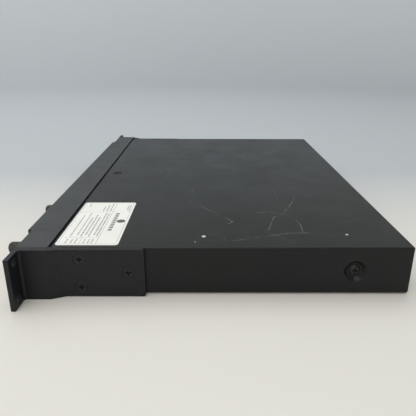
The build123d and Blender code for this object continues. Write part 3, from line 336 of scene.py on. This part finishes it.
def black_screw():
    finish = Finish("black_screw", (0.016, 0.017, 0.018), 0.42, metallic=0.25)
    edge = finish.round_edges(0.0003)
    tone = finish.remap(finish.noise(800, 3.0), 0.3, 0.7)
    colour = finish.mix(tone, (0.006, 0.0065, 0.0075), (0.012, 0.012, 0.0125))
    finish.put("Base Color", finish.mix(finish.math("MULTIPLY", edge, 0.25), colour, (0.06, 0.06, 0.06)))
    finish.put("Roughness", finish.remap(tone, 0, 1, 0.36, 0.5))
    finish.bump(finish.noise(2500, 2.0), 0.00003, 0.5)
    return finish.material


def label_paper():
    finish = Finish("label_paper", (0.82, 0.81, 0.75), 0.55)
    fibre = finish.noise(1.0, 4.0, 0.65, where=finish.stretched(900, 900, 900))
    age = finish.remap(finish.noise(35, 3.0), 0.3, 0.75)
    colour = finish.mix(age, (0.9, 0.89, 0.83), (0.84, 0.83, 0.765))
    finish.put("Base Color", finish.mix(finish.math("MULTIPLY", fibre, 0.12), colour, (0.6, 0.59, 0.54)))
    finish.put("Roughness", finish.remap(fibre, 0.3, 0.7, 0.48, 0.6))
    finish.bump(fibre, 0.00003, 0.35)
    return finish.material


def ink(name, colour):
    finish = Finish(name, colour, 0.5)
    wear = finish.remap(finish.noise(1600, 3.0), 0.45, 0.72)
    finish.put("Base Color", finish.mix(finish.math("MULTIPLY", wear, 0.45), colour, (0.6, 0.59, 0.55)))
    return finish.material


def display_glass():
    """A smoked lens, faintly smeared."""
    finish = Finish("display_glass", (0.42, 0.46, 0.43), 0.08, Transmission_Weight=0.92, IOR=1.49)
    finish.put("Roughness", finish.remap(finish.noise(70, 4.0, 0.6), 0.4, 0.7, 0.05, 0.16))
    return finish.material


def display_metal():
    finish = Finish("display_metal", (0.02, 0.02, 0.022), 0.4, metallic=0.6)
    finish.put("Roughness", finish.remap(finish.noise(300, 2.0), 0.3, 0.7, 0.32, 0.5))
    return finish.material


def liquid_crystal():
    """The display's face: a grid of blank character cells on a grey-green field."""
    finish = Finish("liquid_crystal", (0.2, 0.24, 0.18), 0.3)
    x, _, z = finish.split()
    cell = 0.0
    cell_width, cell_height = 3.4 * MM, 7.2 * MM
    for value, pitch in ((x, cell_width), (z, cell_height)):
        phase = finish.math("FRACT", finish.math("DIVIDE", value, pitch))
        from_middle = finish.math("ABSOLUTE", finish.math("SUBTRACT", phase, 0.5))
        cell = finish.math("MAXIMUM", cell, from_middle)
    inside = finish.remap(cell, 0.43, 0.41)
    haze = finish.noise(60, 3.0)
    field = finish.mix(finish.remap(haze, 0.3, 0.7), (0.19, 0.23, 0.17), (0.23, 0.27, 0.2))
    finish.put("Base Color", finish.mix(finish.math("MULTIPLY", inside, 0.35), field, (0.12, 0.15, 0.11)))
    return finish.material


def key_rubber():
    finish = Finish("key_rubber", (0.035, 0.036, 0.038), 0.62, Sheen_Weight=0.15)
    finish.round_edges(0.0004)
    finish.put("Roughness", finish.remap(finish.noise(500, 3.0), 0.3, 0.7, 0.55, 0.7))
    finish.bump(finish.noise(2600, 2.0), 0.00003, 0.5)
    return finish.material


def circuit_board():
    """Green solder mask over copper tracks, with bare pads and holes."""
    finish = Finish("circuit_board", (0.01, 0.09, 0.035), 0.28, Coat_Weight=0.4, Coat_Roughness=0.15)
    track = finish.cells(260, "DISTANCE_TO_EDGE", finish.stretched(1.0, 0.45, 1.0), randomness=0.85)
    fine = finish.cells(560, "DISTANCE_TO_EDGE", finish.stretched(0.5, 1.0, 1.0), randomness=0.7)
    copper = finish.math("MAXIMUM", finish.remap(track, 0.09, 0.06), finish.remap(fine, 0.06, 0.03))
    colour = finish.mix(finish.math("MULTIPLY", copper, 0.6), (0.006, 0.06, 0.022), (0.03, 0.2, 0.07))
    pads = finish.remap(finish.cells(420), 0.16, 0.12)
    finish.put("Base Color", finish.mix(pads, colour, (0.62, 0.6, 0.5)))
    finish.put("Metallic", finish.math("MULTIPLY", pads, 0.9))
    finish.bump(copper, 0.00004, 0.5)
    return finish.material


def light_pipe():
    finish = Finish("light_pipe", (0.75, 0.8, 0.76), 0.2, Transmission_Weight=0.5, IOR=1.49)
    finish.put("Roughness", finish.remap(finish.noise(900, 3.0), 0.3, 0.7, 0.14, 0.3))
    return finish.material


def tin_shell():
    """Thin plated steel, as on jacks and cages."""
    finish = Finish("tin_shell", (0.66, 0.65, 0.62), 0.24, metallic=1.0)
    finish.round_edges(0.00015)
    brushed = finish.noise(1.0, 2.0, where=finish.stretched(300, 300, 5200))
    tone = finish.remap(finish.math("ADD", brushed, finish.noise(220, 3.0)), 0.7, 1.3)
    finish.put("Base Color", finish.mix(tone, (0.56, 0.55, 0.53), (0.72, 0.71, 0.68)))
    finish.put("Roughness", finish.remap(tone, 0, 1, 0.2, 0.36))
    finish.bump(brushed, 0.000008, 0.5)
    return finish.material


def moulded(name, colour, roughness, speck=2200):
    """Plain injection-moulded plastic with a fine spark-eroded skin."""
    finish = Finish(name, colour, roughness)
    finish.round_edges(0.0003)
    cloud = finish.remap(finish.noise(50, 3.0), 0.3, 0.7)
    lighter = tuple(min(1.0, c * 1.35 + 0.002) for c in colour)
    finish.put("Base Color", finish.mix(cloud, colour, lighter))
    smear = finish.noise(160, 3.0)
    finish.put("Roughness", finish.remap(smear, 0.3, 0.7, roughness - 0.06, roughness + 0.06))
    finish.bump(finish.noise(speck, 2.0), 0.00003, 0.5)
    return finish.material


def knob_plastic():
    finish = Finish("knob_plastic", (0.02, 0.0185, 0.0175), 0.32)
    edge = finish.round_edges(0.0003)
    tone = finish.remap(finish.noise(260, 4.0), 0.3, 0.7)
    colour = finish.mix(tone, (0.017, 0.016, 0.0155), (0.03, 0.027, 0.024))
    finish.put("Base Color", finish.mix(finish.math("MULTIPLY", edge, 0.1), colour, (0.2, 0.17, 0.13)))
    finish.put("Roughness", finish.remap(tone, 0, 1, 0.26, 0.4))
    return finish.material


def gilt():
    finish = Finish("gilt", (0.83, 0.62, 0.25), 0.22, metallic=1.0)
    finish.put("Roughness", finish.remap(finish.noise(1200, 2.0), 0.3, 0.7, 0.16, 0.3))
    return finish.material


def fin_metal():
    finish = Finish("fin_metal", (0.74, 0.75, 0.76), 0.3, metallic=1.0)
    grain = finish.noise(1.0, 2.0, where=finish.stretched(4000, 60, 4000))
    finish.put("Roughness", finish.remap(grain, 0.3, 0.7, 0.24, 0.4))
    finish.bump(grain, 0.00001, 0.5)
    return finish.material


def cast_metal():
    finish = Finish("cast_metal", (0.2, 0.21, 0.22), 0.48, metallic=0.9)
    finish.round_edges(0.0005)
    finish.put("Roughness", finish.remap(finish.noise(500, 3.0), 0.3, 0.7, 0.4, 0.56))
    finish.bump(finish.noise(1500, 3.0), 0.00006, 0.5)
    return finish.material


def braided():
    """A braided sleeve over the supply's wires."""
    finish = Finish("braided", (0.02, 0.02, 0.021), 0.7)
    x, y, z = finish.split()
    strands_per_metre = 3200.0
    weave = None
    for sign in (1.0, -1.0):
        slant = finish.math("ADD", y, finish.math("MULTIPLY", finish.math("ADD", x, z), sign))
        phase = finish.math("MULTIPLY", slant, strands_per_metre)
        wave = finish.math("ABSOLUTE", finish.math("SINE", phase))
        weave = wave if weave is None else finish.math("MULTIPLY", weave, wave)
    finish.put("Base Color", finish.mix(weave, (0.012, 0.012, 0.013), (0.05, 0.05, 0.052)))
    finish.bump(weave, 0.0002, 0.7)
    return finish.material


def lamp(name, colour):
    """A small coloured lens, unlit."""
    finish = Finish(name, colour, 0.18, Transmission_Weight=0.3, IOR=1.5)
    finish.put("Roughness", finish.remap(finish.noise(900, 2.0), 0.3, 0.7, 0.12, 0.25))
    return finish.material


FINISHES = {
    "cover_paint": cover_paint(),
    "tray_steel": sheet_steel(),
    "bezel_plastic": bezel_plastic(),
    "ear_paint": ear_paint(),
    "black_screw": black_screw(),
    "plain_screw": plated_screw(),
    "label_paper": label_paper(),
    "lens": display_glass(),
    "display_metal": display_metal(),
    "key_rubber": key_rubber(),
    "green_board": circuit_board(),
    "light_pipe": light_pipe(),
    "jack_shell": tin_shell(),
    "chip_plastic": moulded("chip_plastic", (0.018, 0.018, 0.019), 0.5, 3000),
    "knob_plastic": knob_plastic(),
    "clip_steel": plated_screw(),
    "socket_plastic": moulded("socket_plastic", (0.02, 0.02, 0.021), 0.45),
    "brass_pin": gilt(),
    "fan_plastic": moulded("fan_plastic", (0.016, 0.016, 0.017), 0.4),
    "heat_sink_metal": fin_metal(),
    "drive_case": cast_metal(),
    "harness_sleeve": braided(),
}
GREY_INK = ink("grey_ink", (0.27, 0.267, 0.25))
DARK_INK = ink("dark_ink", (0.035, 0.035, 0.035))
CELLS = liquid_crystal()
KEY_MARK = moulded("key_mark", (0.55, 0.56, 0.56), 0.5)
AMBER = lamp("amber_lens", (0.5, 0.24, 0.05))
GREEN = lamp("green_lens", (0.1, 0.4, 0.12))


def paint_nodes():
    """Gives every CAD node the finish of its record slot."""
    for name, node in frame["nodes"].items():
        node.data.materials.clear()
        node.data.materials.append(FINISHES[SLOT_OF[name]])


# ---------------------------------------------------------------- mesh pieces: the small tools
def piece(name, mesh, body, finish):
    """A mesh as a finished piece that rides on a body."""
    data = bpy.data.meshes.new(name)
    bmesh.ops.recalc_face_normals(mesh, faces=mesh.faces)
    mesh.to_mesh(data)
    mesh.free()
    made = bpy.data.objects.new(name, data)
    bpy.context.scene.collection.objects.link(made)
    data.materials.append(finish)
    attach(made, body)
    return made


def add_box(mesh, low, high, bevel=0.0):
    """A box between two corners, with its edges rounded off if asked."""
    size = Vector(high) - Vector(low)
    middle = (Vector(high) + Vector(low)) / 2
    place = Matrix.Translation(middle) @ Matrix.Diagonal((*size, 1.0))
    made = bmesh.ops.create_cube(mesh, size=1.0, matrix=place)["verts"]
    if bevel:
        edges = list({edge for vert in made for edge in vert.link_edges})
        bmesh.ops.bevel(mesh, geom=edges, offset=bevel, segments=2, affect="EDGES", profile=0.5)


def join_rings(mesh, rings):
    """Faces between each ring of vertices and the next."""
    for lower, upper in zip(rings, rings[1:]):
        for n in range(len(lower)):
            m = (n + 1) % len(lower)
            mesh.faces.new((lower[n], lower[m], upper[m], upper[n]))


def join_tube(mesh, rings):
    """Faces along a tube of rings, closed at both ends."""
    join_rings(mesh, rings)
    mesh.faces.new(rings[0])
    mesh.faces.new(rings[-1])


def add_disc(mesh, centre, radius, thickness, normal, sides=40):
    """A short cylinder that stands on its centre along its normal."""
    turn = Vector((0, 0, 1)).rotation_difference(Vector(normal)).to_matrix().to_4x4()
    place = Matrix.Translation(Vector(centre) + Vector(normal) * thickness / 2) @ turn
    bmesh.ops.create_cone(mesh, cap_ends=True, segments=sides, radius1=radius, radius2=radius,
                          depth=thickness, matrix=place)


def add_strip(mesh, x, path, width, thickness):
    """A flat strip of metal along a path of (y, z) points, all in millimetres from the ears' front."""
    rings = []
    for n, (y, z) in enumerate(path):
        before, after = path[max(n - 1, 0)], path[min(n + 1, len(path) - 1)]
        run = Vector((after[0] - before[0], after[1] - before[1])).normalized()
        across = Vector((-run.y, run.x)) * thickness / 2
        section = [from_ears(x + side * width / 2, y + lift * across.x, z + lift * across.y)
                   for side, lift in ((-1, -1), (1, -1), (1, 1), (-1, 1))]
        rings.append([mesh.verts.new(corner) for corner in section])
    join_tube(mesh, rings)


def add_ring(mesh, centre, outer, inner, thickness, sides=32):
    """A flat ring that faces +Y, thick towards +Y."""
    turns = [2 * math.pi * n / sides for n in range(sides)]
    rings = []
    for radius, depth in ((outer, 0.0), (outer, thickness), (inner, thickness), (inner, 0.0)):
        outline = [Vector((radius * math.cos(a), depth, radius * math.sin(a))) for a in turns]
        rings.append([mesh.verts.new(Vector(centre) + point) for point in outline])
    join_rings(mesh, rings + rings[:1])


# ---------------------------------------------------------------- the cover's label
# Where the label's print lies, in millimetres from the ears' front, with X growing to the right.
PRINT_RISE_MM = 0.02
RULES_X_MM = (112.0, 209.7)
RULES_Y_MM = (30.2, 77.3)
RULE_MM = 0.28
HEAD_RULE_MM = (60.6, 60.95)
COLUMN_RULES_MM = ((137.2, 137.5), (196.6, 196.9))
COLUMN_FOOT_MM = 32.4
CELL_RULE_MM = (47.0, 47.3)
DOT_CENTRE_MM, DOT_RADIUS_MM = (160.4, 72.6), 3.9
# The heading is a row of blocks, each with a small step on its far side.
BLOCK_COUNT, BLOCK_START_MM, BLOCK_PITCH_MM = 8, 182.5, 5.5
BLOCK_WIDTH_MM, BLOCK_Y_MM = 4.1, (64.6, 67.9)
STEP_X_MM, STEP_Y_MM = (3.0, 1.1), (66.9, 68.3)
# Each line of dashes: where it starts, where it ends, how far back it lies, and how tall it is.
LEFT_LINES_MM = ((135.0, 116.0, 75.4, 0.9), (133.0, 118.0, 73.4, 0.9), (134.8, 113.8, 57.6, 1.15),
                 (134.8, 117.8, 54.2, 1.15), (134.8, 121.8, 50.8, 1.15), (122.0, 114.0, 35.2, 1.0))
BODY_LINES_MM = ((194.6, 142, 58.4, 1.25), (191.6, 139, 55.6, 1.25), (194.6, 150, 51.6, 1.25),
                 (191.6, 144, 48.4, 1.25), (194.6, 152, 45.2, 1.25), (191.6, 140, 41.6, 1.0),
                 (194.6, 146, 36.4, 1.0))
RIGHT_ROWS_MM = (57.0, 54.0, 50.4, 43.6, 40.2, 36.0)
RIGHT_LINE_MM = {"start": 208.0, "end": 199.0, "height": 1.1, "shortest": 0.9, "longest": 2.6}
DASH_GAPS_MM = (0.6, 1.2)
LEAST_DASH_MM = 0.5


def label_print():
    """Everything printed on the label: rules, a dot, and dashes where words would be."""
    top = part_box("product_label")[1].z / MM
    draw = random.Random(11)
    grey, dark = bmesh.new(), bmesh.new()

    def bar(x0, x1, y0, y1):
        add_box(grey, from_ears(x0, y0, top), from_ears(x1, y1, top + PRINT_RISE_MM))

    def words(start, end, y, height, shortest=1.2, longest=4.0):
        """A line of dashes along X, from its start down to its end."""
        x = start
        while x > end:
            length = min(draw.uniform(shortest, longest), x - end)
            if length > LEAST_DASH_MM:
                bar(x - length, x, y - height / 2, y + height / 2)
            x -= length + draw.uniform(*DASH_GAPS_MM)

    (left, right), (near, far) = RULES_X_MM, RULES_Y_MM
    for y in (near, far):
        bar(left, right, y - RULE_MM, y)
    for x in (left, right):
        bar(x - RULE_MM, x, near, far)
    bar(left, right, *HEAD_RULE_MM)
    for low, high in COLUMN_RULES_MM:
        bar(low, high, COLUMN_FOOT_MM, HEAD_RULE_MM[0])
    bar(COLUMN_RULES_MM[1][0] + 0.1, right, *CELL_RULE_MM)
    add_disc(dark, from_ears(*DOT_CENTRE_MM, top), DOT_RADIUS_MM * MM, PRINT_RISE_MM * MM, (0, 0, 1))
    for n in range(BLOCK_COUNT):
        x = BLOCK_START_MM - BLOCK_PITCH_MM * n
        bar(x - BLOCK_WIDTH_MM, x, *BLOCK_Y_MM)
        bar(x - STEP_X_MM[0], x - STEP_X_MM[1], *STEP_Y_MM)
    for line in LEFT_LINES_MM + BODY_LINES_MM:
        words(*line)
    for y in RIGHT_ROWS_MM:
        words(y=y, **RIGHT_LINE_MM)
    piece("label_rules", grey, "chassis", GREY_INK)
    piece("label_dot", dark, "chassis", DARK_INK)


# ---------------------------------------------------------------- front details
FACE_INSET = 0.003
# How far the display's face stands in front of its frame, at its front and at its back.
FACE_DEPTHS = (0.00025, 0.00002)
ARROW_SIZE = 0.0016
# How far each ring of an arrowhead lies behind the key's face, and its share of the full size.
ARROW_RINGS = ((0.00005, 1.0), (-0.00012, 1.0), (-0.0002, 0.85))
# The dot and the bar start just behind the key's face and stand out in front of it.
MARK_SINK, MARK_RISE = 0.00005, 0.00015
DOT_RADIUS = 0.0013
BAR_HALF_WIDTH, BAR_HALF_HEIGHT, BAR_BEVEL = 0.0017, 0.0004, 0.0001


def display_face():
    """The display's face, between its frame and the lens."""
    low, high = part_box("display_window")
    frame_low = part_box("display_module")[0]
    front, back = (frame_low.y - depth for depth in FACE_DEPTHS)
    mesh = bmesh.new()
    add_box(mesh, (low.x + FACE_INSET, front, low.z + FACE_INSET),
            (high.x - FACE_INSET, back, high.z - FACE_INSET))
    piece("display_face", mesh, "chassis", CELLS)


def key_face(key):
    """The middle of a key's front face."""
    low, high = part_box(key)
    return Vector(((low.x + high.x) / 2, low.y, (low.z + high.z) / 2))


def add_arrowhead(mesh, centre, turn):
    """A raised triangle, pointing up before it is turned."""
    corners = [Vector((0, 0, 1.0)), Vector((0.87, 0, -0.5)), Vector((-0.87, 0, -0.5))]
    spin = Matrix.Rotation(turn, 3, "Y")
    rings = []
    for depth, share in ARROW_RINGS:
        outline = [centre + spin @ (corner * ARROW_SIZE * share) for corner in corners]
        rings.append([mesh.verts.new(point + Vector((0, depth, 0))) for point in outline])
    join_tube(mesh, rings)


def key_mark(key, mesh):
    """The mesh as the mark of this key, which it moves with."""
    piece(f"{key}_mark", mesh, key, KEY_MARK)


def key_marks():
    """A raised mark on each menu key: up, down, a round dot and a bar."""
    for key, turn in (("key_up", 0.0), ("key_down", math.pi)):
        mesh = bmesh.new()
        add_arrowhead(mesh, key_face(key), turn)
        key_mark(key, mesh)
    mesh = bmesh.new()
    base = key_face("key_enter") + Vector((0, MARK_SINK, 0))
    add_disc(mesh, base, DOT_RADIUS, MARK_SINK + MARK_RISE, (0, -1, 0))
    key_mark("key_enter", mesh)
    mesh = bmesh.new()
    centre = key_face("key_back")
    add_box(mesh, centre - Vector((BAR_HALF_WIDTH, MARK_RISE, BAR_HALF_HEIGHT)),
            centre + Vector((BAR_HALF_WIDTH, MARK_SINK, BAR_HALF_HEIGHT)), BAR_BEVEL)
    key_mark("key_back", mesh)


# ---------------------------------------------------------------- contacts, lamps and marks
# Heights of the two rows of jacks, each with the way its contacts lie from its middle.
JACK_ROWS_MM = ((14.2, 1), (27.7, -1))
JACK_FRONT_MM = -1.5
LAN_COLUMNS_MM = tuple(10.0 + 16.2 * n for n in range(4))
SERVICE_COLUMN_MM = -11.0
# One sprung wire as points: back from the jack's front, and away from its middle.
WIRE_PATH_MM = ((12.6, 5.4), (3.4, 5.3), (2.7, 5.1), (2.6, 4.7), (3.2, 4.4), (11.2, 1.9))
WIRE_COUNT, WIRE_PITCH_MM, WIRE_WIDTH_MM, WIRE_THICKNESS_MM = 8, 1.02, 0.46, 0.24
# Each jack's lamps: how far to its side and past its middle, their half size, and their reach along Y.
LAMP_OFFSET_MM = (5.6, 4.55)
LAMP_HALF_MM = (1.4, 0.95)
LAMP_REACH_MM = (-0.3, 0.02)
LAMP_BEVEL_MM = 0.12
USB_COLUMN_MM, USB_ROWS_MM = -31.6, (12.2, 24.0)
# One flat contact as points: back from the ears' front, and up from the socket's middle.
USB_PATH_MM = ((1.0, -0.2), (2.0, -0.32), (8.0, -0.32))
USB_COUNT, USB_PITCH_MM, USB_WIDTH_MM, USB_THICKNESS_MM = 4, 2.3, 1.1, 0.22
# The rocker's axle, and its two faces, which lean back from a crest over the axle.
ROCKER_MM = (-162.0, 312.5, 21.2)
ROCKER_TILT = math.radians(-7.0)
ROCKER_LEAN = math.atan2(1.4, 8.0)
ROCKER_CREST_MM = 2.47
ROCKER_MARK_MM = 0.12
ROCKER_BAR_MM = {"half_width": 0.3, "low": 2.6, "high": 5.8}
ROCKER_RING_MM = {"height": -4.3, "outer": 1.75, "inner": 1.2}


def spread(count, pitch):
    """Evenly pitched places either side of nought."""
    return [(n - (count - 1) / 2) * pitch for n in range(count)]


def jack_contacts(name, columns):
    """The eight sprung wires in each network jack."""
    mesh = bmesh.new()
    for x in columns:
        for z, flip in JACK_ROWS_MM:
            path = [(JACK_FRONT_MM + y, z + flip * rise) for y, rise in WIRE_PATH_MM]
            for across in spread(WIRE_COUNT, WIRE_PITCH_MM):
                add_strip(mesh, x + across, path, WIRE_WIDTH_MM, WIRE_THICKNESS_MM)
    piece(name, mesh, "chassis", FINISHES["brass_pin"])


def jack_lamps(name, columns, side, finish):
    """The small lens beside each jack's latch, on one side."""
    (across, down), (half_width, half_height) = LAMP_OFFSET_MM, LAMP_HALF_MM
    front, back = (JACK_FRONT_MM + reach for reach in LAMP_REACH_MM)
    mesh = bmesh.new()
    for x in columns:
        for z, flip in JACK_ROWS_MM:
            lamp_x, lamp_z = x + side * across, z - flip * down
            add_box(mesh, from_ears(lamp_x - half_width, front, lamp_z - half_height),
                    from_ears(lamp_x + half_width, back, lamp_z + half_height), LAMP_BEVEL_MM * MM)
    piece(name, mesh, "chassis", finish)


def usb_contacts():
    """The four flat contacts under each socket's tongue."""
    mesh = bmesh.new()
    for z in USB_ROWS_MM:
        path = [(y, z + rise) for y, rise in USB_PATH_MM]
        for across in spread(USB_COUNT, USB_PITCH_MM):
            add_strip(mesh, USB_COLUMN_MM + across, path, USB_WIDTH_MM, USB_THICKNESS_MM)
    piece("usb_contacts", mesh, "chassis", FINISHES["brass_pin"])


def rocker_marks():
    """A bar and a ring on the power rocker's two faces."""
    mesh = bmesh.new()
    crest = Matrix.Translation((0, ROCKER_CREST_MM * MM, 0))
    half, low, high = (value * MM for value in ROCKER_BAR_MM.values())
    add_box(mesh, (-half, 0, low), (half, ROCKER_MARK_MM * MM, high))
    upper = list(mesh.verts)
    bmesh.ops.transform(mesh, matrix=crest @ Matrix.Rotation(-ROCKER_LEAN, 4, "X"), verts=upper)
    height, outer, inner = (value * MM for value in ROCKER_RING_MM.values())
    add_ring(mesh, (0, 0, height), outer, inner, ROCKER_MARK_MM * MM)
    lower = [vert for vert in mesh.verts if vert not in upper]
    bmesh.ops.transform(mesh, matrix=crest @ Matrix.Rotation(ROCKER_LEAN, 4, "X"), verts=lower)
    rocker = Matrix.Translation(from_ears(*ROCKER_MM)) @ Matrix.Rotation(ROCKER_TILT, 4, "X")
    bmesh.ops.transform(mesh, matrix=rocker, verts=mesh.verts)
    piece("rocker_marks", mesh, "rocker", KEY_MARK)


# Each knob's spring lies between the knob's floor and its ferrule.
KNOBS_MM = {"left": 78.55, "right": 174.95}
KNOB_ROW_MM = 23.0
SPRING_Y_MM = (-18.5, -11.75)
SPRING_TURNS = 4
COIL_RADIUS_MM, COIL_WIRE_MM = 3.2, 0.3
STEPS_PER_TURN, WIRE_SIDES = 28, 10


def knob_spring(side):
    """One knob's coil spring of round wire, held still on the network module."""
    start, end = SPRING_Y_MM
    steps = SPRING_TURNS * STEPS_PER_TURN
    axis = Vector((0, 1, 0))
    mesh = bmesh.new()
    turns = [2 * math.pi * k / WIRE_SIDES for k in range(WIRE_SIDES)]
    rings = []
    for n in range(steps + 1):
        angle = 2 * math.pi * n / STEPS_PER_TURN
        outward = Vector((math.cos(angle), 0, math.sin(angle)))
        on_axis = Vector((KNOBS_MM[side], start + (end - start) * n / steps, KNOB_ROW_MM))
        middle = on_axis + outward * COIL_RADIUS_MM
        section = [middle + (outward * math.cos(a) + axis * math.sin(a)) * COIL_WIRE_MM for a in turns]
        rings.append([mesh.verts.new(from_ears(*point)) for point in section])
    join_tube(mesh, rings)
    slot = SLOT_OF["thumb_springs"]
    made = piece(f"knob_spring_{side}", mesh, "network_module", FINISHES[slot])
    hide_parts("thumb_springs")
    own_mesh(made)


# ---------------------------------------------------------------- floor, light and camera
def floor_finish():
    """Pale paper: warm near the camera, with painted cool shade and reflection away from it."""
    finish = Finish("floor_paper", (0.8, 0.78, 0.72), 0.75)
    x, _, z = finish.split()
    away = finish.math("SUBTRACT", z, x)
    # painted shade and cool reflection: the floor turns bluish grey away from the camera
    colour = finish.mix(finish.remap(away, -0.12, 0.16), (0.755, 0.725, 0.665), (0.495, 0.52, 0.53))
    colour = finish.mix(finish.remap(z, 0.0, 0.7), colour, (0.72, 0.75, 0.76))
    finish.put("Base Color", colour)
    finish.bump(finish.noise(800, 3.0), 0.00005, 0.3)
    return finish.material


def bowl_backdrop():
    """A round floor that curves up into a low wall all the way round, as radii and heights in metres."""
    centre, flat, curve, top, sides, steps = 0.6, 1.7, 0.8, 1.7, 96, 12
    profile = [(centre, 0.0), (flat, 0.0)]
    for n in range(1, steps + 1):
        turn = math.pi / 2 * n / steps
        profile.append((flat + curve * math.sin(turn), curve - curve * math.cos(turn)))
    profile.append((flat + curve, top))
    mesh = bmesh.new()
    turns = [2 * math.pi * n / sides for n in range(sides)]
    rings = [[mesh.verts.new((r * math.cos(a), r * math.sin(a), z)) for a in turns] for r, z in profile]
    mesh.faces.new(rings[0])
    join_rings(mesh, rings)
    bmesh.ops.recalc_face_normals(mesh, faces=mesh.faces)
    data = bpy.data.meshes.new("backdrop")
    mesh.to_mesh(data)
    mesh.free()
    for face in data.polygons:
        face.use_smooth = True
    made = bpy.data.objects.new("backdrop", data)
    bpy.context.scene.collection.objects.link(made)
    data.materials.append(floor_finish())


def soft_light(name, place, aim, size, power, colour):
    """A rectangular lamp at a place, turned towards its aim."""
    data = bpy.data.lights.new(name, "AREA")
    data.shape = "RECTANGLE"
    data.size, data.size_y = size
    data.energy = power
    data.color = colour
    made = bpy.data.objects.new(name, data)
    made.location = place
    made.rotation_euler = (Vector(aim) - Vector(place)).to_track_quat("-Z", "Y").to_euler()
    bpy.context.scene.collection.objects.link(made)


def set_lights():
    """A broad cool window above, a smaller warm light from the right, and a pale sky for the rest."""
    soft_light("window", (-0.2, -0.6, 2.0), (0.1, 0.0, 0.0), (3.0, 3.0), 40.0, (0.97, 0.985, 1.0))
    soft_light("room", (1.7, -0.3, 1.9), (0.2, 0.0, 0.0), (1.8, 1.8), 15.0, (1.0, 0.94, 0.86))
    world = bpy.data.worlds.new("studio")
    world.use_nodes = True
    world.node_tree.nodes["Background"].inputs["Color"].default_value = (0.78, 0.84, 0.9, 1.0)
    world.node_tree.nodes["Background"].inputs["Strength"].default_value = 0.34
    bpy.context.scene.world = world
    bpy.context.scene.view_settings.view_transform = "Standard"


# The camera's place in millimetres from the ears' front, its lens in millimetres, and its angles in radians.
CAMERA_MM = (534.8, 150.2, 193.4)
LENS_MM, SENSOR_MM = 38.45, 36.0
PITCH, DRIFT, ROLL = 0.3528, 0.0035, 0.0027


def set_camera():
    """Off the right-hand side, a little above, looking across the width."""
    data = bpy.data.cameras.new("camera")
    data.sensor_width = SENSOR_MM
    data.lens = LENS_MM
    made = bpy.data.objects.new("camera", data)
    look = Vector((-math.cos(PITCH) * math.cos(DRIFT), math.cos(PITCH) * math.sin(DRIFT), -math.sin(PITCH)))
    upright = look.to_track_quat("-Z", "Y").to_matrix()
    made.rotation_euler = (upright @ Matrix.Rotation(ROLL, 3, "Z")).to_euler()
    made.location = from_ears(*CAMERA_MM)
    bpy.context.scene.collection.objects.link(made)
    bpy.context.scene.camera = made


# ---------------------------------------------------------------- everything, in order
paint_nodes()
label_print()
display_face()
key_marks()
jack_contacts("lan_contacts", LAN_COLUMNS_MM)
jack_contacts("service_contacts", (SERVICE_COLUMN_MM,))
for side, colour, lens in ((-1, "green", GREEN), (1, "amber", AMBER)):
    jack_lamps(f"lan_lamps_{colour}", LAN_COLUMNS_MM, side, lens)
    jack_lamps(f"service_lamps_{colour}", (SERVICE_COLUMN_MM,), side, lens)
usb_contacts()
rocker_marks()
for side in KNOBS_MM:
    knob_spring(side)
bowl_backdrop()
set_lights()
set_camera()
